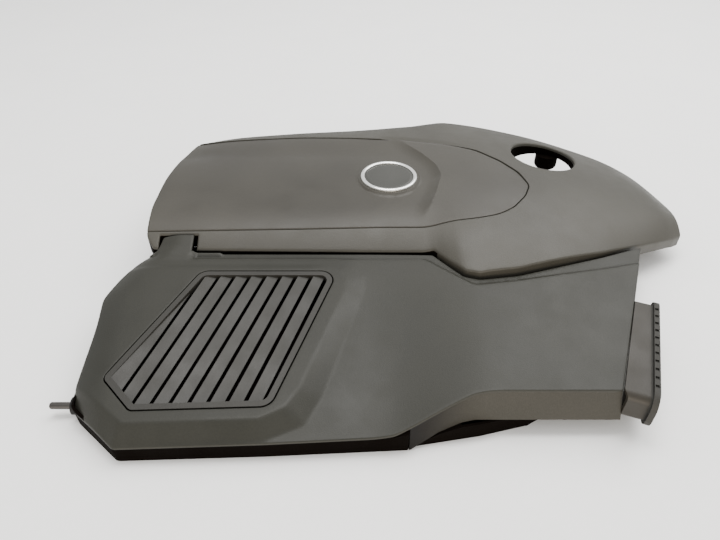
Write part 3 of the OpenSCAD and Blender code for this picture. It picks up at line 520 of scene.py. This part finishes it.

# the lower duct shell is black for its own plastic, and as painted shade for the dark gap under the covers'
# front edges
NODE_LOOK = {
    "badge_ring": chrome_mat, "badge_face": face_mat, "grille_insert": grille_mat,
    "lower_duct_shell": black_and_shade_mat, "duct_sleeve": duct_mat, "duct_seal": seal_mat,
    "locating_pin": steel_mat, "pin_bush": rubber_mat, "acoustic_pad": foam_mat,
    "rear_left_grommet": rubber_mat, "rear_right_grommet": rubber_mat,
    "mid_left_grommet": rubber_mat, "mid_right_grommet": rubber_mat,
    "trim_clips": steel_mat, "shell_screws": steel_mat, "cover_screws": steel_mat,
    "filter_element": paper_mat}
for node, look in NODE_LOOK.items():
    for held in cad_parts[node].material_slots:
        held.material = look


# Upper cover
GREY_SLOT, SHADE_SLOT, WALL_SLOT = 0, 1, 2      # materials of the skins' faces: grey plastic, black painted shade, and the duct wall's plastic with painted light and shade
EDGE_R, SEAM_R, HOLE_R = 1.8, 0.9, 3.0
SLIT_X, SLIT_Y = 33, -5                 # the outer wall left of x and in front of y faces the slit, and is black there as painted shade of the slit
# The dip beside the trim: its depth and width, where it starts and ends along x, and starts along y
RIDGE_DIP, RIDGE_W = 2.2, 11
RIDGE_LEFT, RIDGE_RIGHT, RIDGE_REAR = (-30, -5), (40, 105), (120, 150)
TOWER_EDGE, SCREW_R, SCREW_DEPTH, BOSS_R = 6, 2.3, 16, 4.5
AXIS = 0.01                             # radius that stands for a turned face's middle

# Spacing of points on seen faces, on their outlines and on hidden faces, and their gaps to the edges
TOP_STEP, RIM_STEP = 2.6, 3.0
POCKET_STEP, UNDER_STEP, UNDER_RIM_STEP = 9.0, 7.0, 4.0
EDGE_GAP, SEAM_GAP, HIDDEN_GAP = 1.2, 1.4, 3
ON_RIM = 0.06                           # a middle this close to an outline lies on it
UPPER_BOX = (-292, -74), (334, 258)
TRIM_BOX = (-292, -10), (156, 204)
FRONT_BOX = (-316, -256), (264, -10)

upper_loop = rounded(UPPER)
trim_loop = rounded(TRIM)
filler_loop = circle(FILLER_AT, FILLER_R)
collar_z = float(arch(np.array(FILLER_AT[0]), np.array(FILLER_AT[1]))) - COLLAR_H
under_edge = dense(inset(UPPER, COVER_T), UNDER_RIM_STEP)
under_step = dense(inset(TRIM, -COVER_T), UNDER_RIM_STEP)
under_ring = circle(FILLER_AT, FILLER_R + COVER_T)


def from_filler(p):
    """Distance from the filler opening's axis."""
    return np.hypot(p[:, 0] - FILLER_AT[0], p[:, 1] - FILLER_AT[1])


def upper_top(v):
    """Heights of the upper skin, with its rounded edges."""
    x, y = v[:, 0], v[:, 1]
    to_trim = distance(trim_loop, v)
    z = arch(x, y) - fillet(distance(upper_loop, v), EDGE_R)
    z -= fillet(to_trim, SEAM_R)
    # the rear ridge falls towards the trim and fades out to the right
    dip = np.clip(1 - to_trim / RIDGE_W, 0, 1) ** 2 * ease(*RIDGE_LEFT, x) * (1 - ease(*RIDGE_RIGHT, x))
    z -= RIDGE_DIP * dip * ease(*RIDGE_REAR, y)
    return z - fillet(np.maximum(from_filler(v) - FILLER_R, 0), HOLE_R)


def upper_outside(b):
    """The top, the outer walls, the seam's walls and the collar's bore."""
    loops = [dense(inset(UPPER, EDGE_R * s), RIM_STEP) for s in FILLET_STEPS]
    seams = [dense(inset(TRIM, -SEAM_R * s), RIM_STEP) for s in FILLET_STEPS]
    holes = [circle(FILLER_AT, FILLER_R + HOLE_R * s) for s in FILLET_STEPS]
    pts = grid(*UPPER_BOX, TOP_STEP)
    clear = (inside(upper_loop, pts) & (distance(upper_loop, pts) > EDGE_R + EDGE_GAP)
             & ~inside(trim_loop, pts) & (distance(trim_loop, pts) > SEAM_R + SEAM_GAP)
             & (from_filler(pts) > FILLER_R + HOLE_R + SEAM_GAP))

    def keep(m):
        return inside(loops[0], m) & ~inside(seams[0], m) & (from_filler(m) > FILLER_R - 0.05)

    v, f = triangulate(loops + seams + holes, [], pts[clear], keep)
    z = upper_top(v)
    b.surface(v, f, z)
    edges = rim_edges(f)
    mids = middles(v, edges)
    at_hole = from_filler(mids) < FILLER_R + 0.3
    at_seam = (distance(trim_loop, mids) < ON_RIM) & ~at_hole
    at_edge = ~at_hole & ~at_seam
    slit = at_edge & (mids[:, 1] < SLIT_Y) & (mids[:, 0] < SLIT_X)
    foot = skirt(v[:, 0], v[:, 1])
    b.drop(v, chosen(edges, at_edge & ~slit), z, foot, 3)
    # painted shade: the walls that face the slit are black, for the shadow in the slit
    b.slot = SHADE_SLOT
    b.drop(v, chosen(edges, slit), z, foot, 3)
    b.slot = GREY_SLOT
    b.drop(v, chosen(edges, at_seam), z, arch(v[:, 0], v[:, 1]) - POCKET, 2)
    rolled = np.maximum(z - HOLE_R / 2, collar_z)
    b.drop(v, chosen(edges, at_hole), z, rolled)
    # painted shade: the collar's bore is black below its rolled edge, for the shade inside the opening
    b.slot = SHADE_SLOT
    b.drop(v, chosen(edges, at_hole), rolled, np.full(len(v), collar_z), 3)


def upper_pocket(b):
    """Floor of the trim's pocket, and the wall below its open left end."""
    def keep(m):
        return inside(trim_loop, m) & inside(upper_loop, m)

    pts = grid(*TRIM_BOX, POCKET_STEP)
    clear = keep(pts) & (distance(trim_loop, pts) > HIDDEN_GAP) & (distance(upper_loop, pts) > HIDDEN_GAP)
    v, f = triangulate([dense(upper_loop, RIM_STEP), dense(trim_loop, RIM_STEP)], [], pts[clear], keep)
    z = arch(v[:, 0], v[:, 1]) - POCKET
    b.surface(v, f, z)
    edges = rim_edges(f)
    ends = chosen(edges, distance(upper_loop, middles(v, edges)) < ON_RIM)
    b.drop(v, ends, z, skirt(v[:, 0], v[:, 1]), 3)


def upper_underside(b):
    """The inner face with its walls, lower below the pocket."""
    pts = grid(*UPPER_BOX, UNDER_STEP)
    clear = (inside(under_edge, pts) & (distance(under_edge, pts) > HIDDEN_GAP)
             & (distance(under_step, pts) > HIDDEN_GAP)
             & (from_filler(pts) > FILLER_R + COVER_T + HIDDEN_GAP))
    for deep in (False, True):
        def keep(m):
            around = inside(under_edge, m) & (inside(under_step, m) == deep)
            return around & (from_filler(m) > FILLER_R + COVER_T - 0.1)

        v, f = triangulate([under_edge, under_step, under_ring], [], pts[clear], keep)
        top = arch(v[:, 0], v[:, 1]) - COVER_T
        low = arch(v[:, 0], v[:, 1]) - POCKET - COVER_T
        z = low if deep else top
        b.surface(v, f, z, up=False)
        edges = rim_edges(f)
        mids = middles(v, edges)
        at_wall = distance(under_edge, mids) < ON_RIM
        at_ring = np.abs(from_filler(mids) - FILLER_R - COVER_T) < 0.3
        b.drop(v, chosen(edges, at_wall, turned=True), z, skirt(v[:, 0], v[:, 1]), 2)
        b.drop(v, chosen(edges, at_ring, turned=True), z, np.full(len(v), collar_z), 2)
        if not deep:
            b.drop(v, chosen(edges, ~at_wall & ~at_ring, turned=True), top, low)


def upper_rims(b):
    """Lower rims of the side walls and of the collar."""
    outer = dense(upper_loop, RIM_STEP)
    v, f = triangulate([outer, under_edge], [], [], lambda m: inside(outer, m) & ~inside(under_edge, m))
    b.surface(v, f, skirt(v[:, 0], v[:, 1]), up=False)
    v, f = triangulate([filler_loop, under_ring], [], [],
                       lambda m: inside(under_ring, m) & ~inside(filler_loop, m))
    b.surface(v, f, np.full(len(v), collar_z), up=False)


def into_skin(x, y):
    """Where a tower's wall ends: inside the skin, or at the collar's foot below the opening."""
    at = np.column_stack([x, y])
    z = arch(x, y) - np.where(inside(under_step, at), POCKET + COVER_T / 2, COVER_T / 2)
    return np.where(from_filler(at) < FILLER_R, collar_z, z)


def upper_fittings(b):
    """Socket towers and screw bosses, their heads inside the skin."""
    for x, y, z in TOWERS:
        bend = [math.radians(a) for a in range(-90, 1, 10)]
        edge = [(TOWER_R - TOWER_EDGE + TOWER_EDGE * math.cos(a), z + TOWER_EDGE + TOWER_EDGE * math.sin(a))
                for a in bend]
        b.lathe((x, y), [(AXIS, z + GROMMET_LEN), (GROMMET_R, z + GROMMET_LEN), (GROMMET_R, z)] + edge
                + [(TOWER_R, z + 2 * TOWER_EDGE), (TOWER_R, 0)], top=into_skin)
    # the part of a tower that shows through the opening has a flat head, black as painted shade inside the
    # opening
    head = circle(TOWERS[1][:2], TOWER_R, 48)
    cut = dense(filler_loop, 1.5)
    v, f = triangulate([head, cut], [], [], lambda m: inside(head, m) & inside(cut, m))
    b.surface(v, f, np.full(len(v), collar_z))
    seat = FLANGE_Z + FLANGE_T
    for at in BOSSES:
        b.lathe(at, [(AXIS, FLANGE_Z + SCREW_DEPTH), (SCREW_R, FLANGE_Z + SCREW_DEPTH), (SCREW_R, seat),
                     (BOSS_R, seat), (BOSS_R, 0)], n=24, top=into_skin)


def make_upper():
    b = Build()
    # upper_outside ends on the black slot, so the pocket, the underside, the rims and the fittings are all
    # black: painted shade inside the cover
    for section in (upper_outside, upper_pocket, upper_underside, upper_rims, upper_fittings):
        section(b)
    return b.make("upper_shell", [cover_mat, black_and_shade_mat])


# Trim panel
STEP_W, COVE_BEND, STEP_GAP = 17.0, 2.3, 1.3
STEP_LEFT = [(-400, 210), (-400, -20)]  # closes the step's line round everything left of it
CREST_SINK = 0.1                        # keeps the curved skin inside the faceted solid's box
END_GAP = 0.2                           # the panel's left end lies this far inside the cover's
ROLL_OVER, ROLL_OVER_W, ROLL_OVER_X, ROLL_OVER_Y = 1.3, 6.5, (0, 22), (50, 100)
SEAT_FALL, SEAT_RINGS, SEAT_INNER_GAP, SEAT_OUTER_GAP = 0.8, (0, 1.0, 2.2), 1.5, 3.4
step_line = rounded(STEP, closed=False)


def from_badge(p):
    """Distance from the badge's axis."""
    return np.hypot(p[:, 0] - BADGE_AT[0], p[:, 1] - BADGE_AT[1])


def trim_top(v):
    """Heights of the trim skin: the arch, the recess with its cove at the step, and the badge's seat."""
    x, y = v[:, 0], v[:, 1]
    left = inside(np.vstack([step_line, STEP_LEFT]), v)
    u = np.clip(distance(step_line, v, closed=False) / STEP_W, 0, 1)
    cove = np.where(left, 1 - (1 - u) ** COVE_BEND, 0)
    z = arch(x, y) - CREST_SINK - recess(y) * cove
    return np.maximum(z, BADGE_SEAT_Z - np.maximum(0, from_badge(v) - BADGE_SEAT_R) * SEAT_FALL)


def make_trim():
    b = Build()
    rings = [dense(inset(TRIM, SEAM + SEAM_R * s), RIM_STEP) for s in FILLET_STEPS]
    ends = [dense(inset(UPPER, END_GAP + SEAM_R * s), RIM_STEP) for s in FILLET_STEPS]
    seats = [circle(BADGE_AT, BADGE_SEAT_R + wider) for wider in SEAT_RINGS]

    def keep(m):
        return inside(rings[0], m) & inside(ends[0], m)

    pts = grid(*TRIM_BOX, TOP_STEP)
    rad = from_badge(pts)
    clear = (keep(pts) & (distance(rings[0], pts) > SEAM_R + EDGE_GAP)
             & (distance(ends[0], pts) > SEAM_R + EDGE_GAP)
             & (distance(step_line, pts, closed=False) > STEP_GAP)
             & ((rad < BADGE_SEAT_R - SEAT_INNER_GAP) | (rad > BADGE_SEAT_R + SEAT_OUTER_GAP)))
    v, f = triangulate(rings + ends + seats, [dense(step_line, 2.0, closed=False)], pts[clear], keep)
    x, y = v[:, 0], v[:, 1]
    to_edge = distance(rings[0], v)
    z = trim_top(v) - fillet(to_edge, SEAM_R) - fillet(distance(ends[0], v), SEAM_R)
    # the rear right edge rolls over more softly
    roll = np.clip(1 - to_edge / ROLL_OVER_W, 0, 1) ** 2 * ease(*ROLL_OVER_X, x) * ease(*ROLL_OVER_Y, y)
    z -= ROLL_OVER * roll
    b.surface(v, f, z)
    low = arch(x, y) - RECESS_D - TRIM_T
    b.drop(v, rim_edges(f), z, low, 2)
    b.surface(v, f, low, up=False)
    return b.make("trim_skin", [trim_mat], sharp=24)


# Front cover
FRONT_R, LIP_MIN, GRILLE_EDGE_R, GRILLE_DEPTH, GRILLE_GAP = 1.6, 1.5, 0.8, 7.0, 2.0
WALL_X, WALL_END, WALL_END_FOOT = -9, (171.6, -216.0), (174.0, -225.0)
WALL_LAP = 0.4                          # the walls reach this far up into the lip
FOOT_BLEND_X, FOOT_BLEND_Y = 12, 9      # how far from their corner the walls' feet move out to meet
LIP_END = (-20, -243)                   # near here the rim's points are counted from
BACK_Y, NOTCH_X = -24, -228             # where the right wall gives way to the back wall, and where that ends
LEDGE_BEHIND = [(-229, 30), (300, 30)]  # closes the ledge's line behind the cover
SCREW_HOLE_R = 2.25

# The duct wall's sloping face: where it starts, how far it rises, and its foot and head at the start
FACET_X, FACET_RUN, FACET_END = -17.0, 65.0, 173.0
FACET_FOOT_Y, FACET_FOOT_RISE = -245.5, 17.0
FACET_HEAD_Y, FACET_HEAD_Z = -242, 24
CORNER_GAP = 6                          # the outline has no point of the facet nearer to the wall's end
RAMP_X, RAMP_Z = (WALL_X, 16, 36), (0, WALL_FOOT_H - 5, WALL_FOOT_H)

# The tongue climbs from this line into the notch
TONGUE_STEEP, TONGUE_Y, TONGUE_SOFT = 0.235, -46, 6
TONGUE_RIGHT, TONGUE_LEFT = (-229, -236), (-272, -266)
NOTCH_Y, NOTCH_RIGHT = -34, -200        # inside the notch the climb has its full width

# Rows of points beside the creases, and the raster on which the creases are softened
CREASE_ROWS, CREASE_STEP, CREASE_GAP = (-3.2, -1.6, 0, 1.6, 3.2), 2.2, 4.6
RASTER, SOFT = 1.0, 1.0
raster_x = np.arange(-324, 276, RASTER)
raster_y = np.arange(-262, 2, RASTER)


def facet_top():
    """The line where the duct wall's sloping face meets the deck, and the foot below each point."""
    top, foot = [], []
    for x in np.arange(FACET_X, FACET_END, 3.0):
        k = min(1.0, max(0.0, (x - FACET_X) / FACET_RUN))
        fy, fz = FACET_FOOT_Y + (WALL_Y - FACET_FOOT_Y) * k, FACET_FOOT_RISE * k
        hy = FACET_HEAD_Y + (WALL_Y + FACET_LEAN - FACET_HEAD_Y) * k
        hz = FACET_HEAD_Z + (SHOULDER_H - FACET_HEAD_Z) * k
        # y settles where the face meets the deck
        y = hy
        for _ in range(12):
            z = float(deck(np.array(x), np.array(y)))
            y = fy + (z - fz) * (hy - fy) / (hz - fz)
        ramp = float(np.interp(x, RAMP_X, RAMP_Z))
        top.append((x, y))
        foot.append((x, fy + (ramp - fz) * (hy - fy) / (hz - fz), ramp))
    return np.array(top), np.array(foot)


def front_outline():
    """Corner list of the deck's outline: the lip, the facet's top, the right edge, the back and the left."""
    facet = [(x, y, 30) for x, y in wall_top[1::4] if x < WALL_END[0] - CORNER_GAP]
    return FRONT_EDGE + facet + [(*WALL_END, 3)] + LEDGE_BACK + TONGUE + LEFT_EDGE


wall_top, wall_foot = facet_top()
front_corners = front_outline()
ledge_line = rounded(LEDGE, closed=False)
bevel_lines = [np.array(p[:-1], float) for p in (BEVEL_OUT, BEVEL_IN)]
creases = bevel_lines + [ledge_line]


def bevel_share(pts):
    """0 on the deck, 1 on the plateau, in between on the bevel."""
    d_out, d_in = (distance(line, pts, closed=False) for line in bevel_lines)
    t = d_out / np.maximum(1e-6, d_out + d_in)
    t = np.where(inside(np.array(BEVEL_IN, float), pts), 1.0, t)
    return np.where(inside(np.array(BEVEL_OUT, float), pts), t, 0.0)


def raw_front(pts):
    """Heights of the front cover with hard creases."""
    x, y = pts[:, 0], pts[:, 1]
    low, high = deck(x, y), plateau(x, y)
    z = low + (np.maximum(high, low) - low) * bevel_share(pts)
    return z - LEDGE_DROP * inside(np.vstack([ledge_line, LEDGE_BEHIND]), pts)


def soften(a, sigma):
    """The raster blurred along both axes."""
    half = int(3 * sigma / RASTER) + 1
    k = np.exp(-0.5 * (np.arange(-half, half + 1) * RASTER / sigma) ** 2)
    k /= k.sum()
    for axis in (0, 1):
        pad = [(half, half) if i == axis else (0, 0) for i in (0, 1)]
        p = np.pad(a, pad, mode="reflect", reflect_type="odd")
        a = sum(w * np.take(p, range(i, i + a.shape[axis]), axis=axis) for i, w in enumerate(k))
    return a


cells = np.stack(np.meshgrid(raster_x, raster_y, indexing="ij"), axis=-1).reshape(-1, 2)
heights = soften(raw_front(cells).reshape(len(raster_x), len(raster_y)), SOFT)


def front_top(v):
    """Heights of the front skin, read from the raster, with the tongue's climb."""
    gx = np.clip((v[:, 0] - raster_x[0]) / RASTER, 0, len(raster_x) - 1.001)
    gy = np.clip((v[:, 1] - raster_y[0]) / RASTER, 0, len(raster_y) - 1.001)
    i, j = gx.astype(int), gy.astype(int)
    s, t = gx - i, gy - j
    z = (heights[i, j] * (1 - s) * (1 - t) + heights[i + 1, j] * s * (1 - t)
         + heights[i, j + 1] * (1 - s) * t + heights[i + 1, j + 1] * s * t)
    past = np.maximum(v[:, 1] - TONGUE_Y, 0)
    climb = TONGUE_STEEP * past**2 / (past + TONGUE_SOFT)
    width = ease(*TONGUE_RIGHT, v[:, 0]) * ease(*TONGUE_LEFT, v[:, 0])
    return z + climb * np.where((v[:, 1] > NOTCH_Y) & (v[:, 0] < NOTCH_RIGHT), 1, width)


def on_slope(loop):
    """An outline drawn on the plateau's slope, seen from above."""
    slope = math.atan((PLATEAU_REAR_H - PLATEAU_FRONT_H) / SLOPE_RUN)
    return np.column_stack([loop[:, 0], DECK_Y + (loop[:, 1] - DECK_Y) * math.cos(slope)])


def crease_points():
    """Rows of points beside the creases, so that the mesh follows them."""
    rows = []
    for line in creases:
        line = dense(line, CREASE_STEP, closed=False)
        rows += [line + normals(line) * s for s in CREASE_ROWS]
    return thin(np.vstack(rows), 1.0)


def front_faces(b):
    """The top and the face below it.

    Returns the points, the lower face's heights and the outer rim's edges.
    """
    rings = [dense(inset(front_corners, FRONT_R * s), RIM_STEP) for s in FILLET_STEPS]
    grille = [dense(on_slope(inset(GRILLE, -GRILLE_EDGE_R * s)), RIM_STEP) for s in FILLET_STEPS]
    loop = rings[0]
    pts = grid(*FRONT_BOX, TOP_STEP)
    near = np.minimum.reduce([distance(c, pts, closed=False) for c in creases])
    pts = np.vstack([crease_points(), pts[near > CREASE_GAP]])
    clear = (inside(loop, pts) & (distance(loop, pts) > FRONT_R + EDGE_GAP) & ~inside(grille[-1], pts)
             & (distance(grille[0], pts) > GRILLE_GAP))
    v, f = triangulate(rings + grille, [], pts[clear], lambda m: inside(loop, m) & ~inside(grille[0], m))
    to_rim = distance(loop, v)
    base = front_top(v)
    z = base - fillet(to_rim, FRONT_R) - fillet(distance(grille[0], v), GRILLE_EDGE_R)
    b.surface(v, f, z)
    # below its rounded edge the lip stays at least LIP_MIN thick
    low = base - LIP_T
    low = np.where(to_rim < FRONT_R + 0.1, np.minimum(low, z - LIP_MIN), low)
    # painted shade: from here the underside, the grille opening's walls and the lip's outer face left of
    # WALL_X are black, for the shade under the front edge and inside the grille
    b.slot = SHADE_SLOT
    b.surface(v, f, low, up=False)
    edges = rim_edges(f)
    at_grille = distance(grille[0], middles(v, edges)) < 0.1
    b.drop(v, chosen(edges, at_grille), z, base - GRILLE_DEPTH, 2)
    outer = chosen(edges, ~at_grille)
    walled = np.array([v[a][0] > WALL_X for a, _ in outer])
    b.drop(v, chosen(outer, ~walled), z, low)
    # the duct wall's face, and the walls hung in front_walls, take the wall plastic: lighter than the deck as
    # painted light, darkening to black painted shade towards the left end
    b.slot = WALL_SLOT
    b.drop(v, chosen(outer, walled), z, low)
    return v, low, outer


def in_order(v, edges, start_at):
    """The rim's points one after another, from the one nearest to start_at."""
    follows = dict(edges)
    start = min(follows, key=lambda i: (v[i][0] - start_at[0]) ** 2 + (v[i][1] - start_at[1]) ** 2)
    order, i = [start], follows[start]
    while i != start:
        order.append(i)
        i = follows[i]
    return order


def front_walls(b, v, low, outer):
    """Walls that hang from the rim: the duct wall, the right wall and the back wall."""
    order = in_order(v, outer, LIP_END)
    reach = [np.linalg.norm(v[i] - np.array(WALL_END)) for i in order]
    turn = int(np.argmin(reach[:len(order) // 2]))
    first = next(k for k, i in enumerate(order) if v[i][0] > WALL_X)
    end = next(k for k, i in enumerate(order) if k > turn and v[i][1] > BACK_Y)
    stop = next(k for k, i in enumerate(order) if k > end and v[i][0] < NOTCH_X)
    duct, right, back = order[first:turn + 1], order[turn:end + 1], order[end:stop + 1]
    # near the corner between the duct wall and the right wall their feet move out to the corner's foot
    shift = np.array(WALL_END_FOOT) - np.array(WALL_END)
    duct_feet = []
    for i in duct:
        x = v[i][0]
        y, z = (np.interp(x, wall_foot[:, 0], wall_foot[:, k]) for k in (1, 2))
        duct_feet.append((x + shift[0] * max(0.0, 1 - (WALL_END[0] - x) / FOOT_BLEND_X), y, z))
    right_feet = []
    for i in right:
        q = v[i] + shift * max(0.0, 1 - np.linalg.norm(v[i] - v[right[0]]) / FOOT_BLEND_Y)
        right_feet.append((q[0], q[1], WALL_FOOT_H))
    duct_feet[-1] = right_feet[0]
    back_feet = [(v[i][0], v[i][1], FLANGE_Z) for i in back]
    for chain, feet in ((duct, duct_feet), (right, right_feet), (back, back_feet)):
        b.hang([(*v[i], low[i] + WALL_LAP) for i in chain], feet, COVER_T)


def front_flange(b):
    """Flange below the upper cover's front wall, with its screw holes."""
    loop = rounded(FLANGE)

    def keep(m):
        past_holes = [np.hypot(m[:, 0] - x, m[:, 1] - y) > SCREW_HOLE_R - 0.05 for x, y in BOSSES]
        return inside(loop, m) & np.all(past_holes, axis=0)

    v, f = triangulate([loop] + [circle(p, SCREW_HOLE_R, 16) for p in BOSSES], [], [], keep)
    up, down = np.full(len(v), FLANGE_Z + FLANGE_T), np.full(len(v), FLANGE_Z)
    b.surface(v, f, up)
    b.surface(v, f, down, up=False)
    b.drop(v, rim_edges(f), up, down)


def make_front():
    b = Build()
    v, low, outer = front_faces(b)
    front_walls(b, v, low, outer)
    # painted shade: the flange under the upper cover's front edge is black
    b.slot = SHADE_SLOT
    front_flange(b)
    return b.make("front_shell", [front_mat, black_and_shade_mat, lit_and_shaded_wall_mat], sharp=34)


upper = make_upper()
trim = make_trim()
front = make_front()
for piece, node, slot in ((upper, "upper_cover", "cover_plastic"), (trim, "trim_panel", "trim_plastic"),
                          (front, "front_cover", "cover_plastic")):
    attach(piece, "root")
    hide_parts(node)


# Floor, in metres as everything below
FLOOR_HALF, FLOOR_Z = 6, -0.0005
fm = bpy.data.meshes.new("floor")
fm.from_pydata([(x * FLOOR_HALF, y * FLOOR_HALF, FLOOR_Z) for x, y in ((-1, -1), (1, -1), (1, 1), (-1, 1))],
               [], [(0, 1, 2, 3)])
fm.materials.append(plastic("floor", (0.97, 0.97, 0.965), shift=0.01, rough=0.8, grain=0.02, scale=200,
                            spec=0.1, smudge=0.01))
floor = bpy.data.objects.new("floor", fm)
bpy.context.scene.collection.objects.link(floor)


# Lights
def area(name, place, target, size, watts, colour):
    data = bpy.data.lights.new(name, "AREA")
    data.shape = "RECTANGLE"
    data.size, data.size_y = size
    data.energy = watts
    data.color = colour
    o = bpy.data.objects.new(name, data)
    o.location = place
    o.rotation_euler = (Vector(target) - Vector(place)).to_track_quat("-Z", "Y").to_euler()
    bpy.context.scene.collection.objects.link(o)


DAY, WARM = (1.0, 0.99, 0.97), (1.0, 0.87, 0.70)
area("key", (1.0, 0.9, 1.7), (0, 0, 0.03), (1.6, 1.2), 36, DAY)
area("front", (0.2, -2.0, 0.25), (0, -0.1, 0.03), (2.2, 0.4), 34, WARM)
area("top", (-0.1, 0.3, 2.1), (0, 0, 0.03), (1.2, 0.8), 40, DAY)

world = bpy.data.worlds.new("studio")
world.use_nodes = True
background = world.node_tree.nodes["Background"]
background.inputs[0].default_value = (0.98, 0.98, 0.97, 1)
background.inputs[1].default_value = 1.15
bpy.context.scene.world = world

# Camera, as fitted to the photo
LENS, SENSOR, LOOK_DOWN = 29.0, 36.0, 40
cam_data = bpy.data.cameras.new("camera")
cam_data.lens = LENS
cam_data.sensor_width = SENSOR
cam_data.clip_start, cam_data.clip_end = 0.01, 50
camera = bpy.data.objects.new("camera", cam_data)
camera.location = (-0.051, -0.5249, 0.4385)
camera.rotation_euler = (math.radians(90 - LOOK_DOWN), 0, 0)
bpy.context.scene.collection.objects.link(camera)
bpy.context.scene.camera = camera
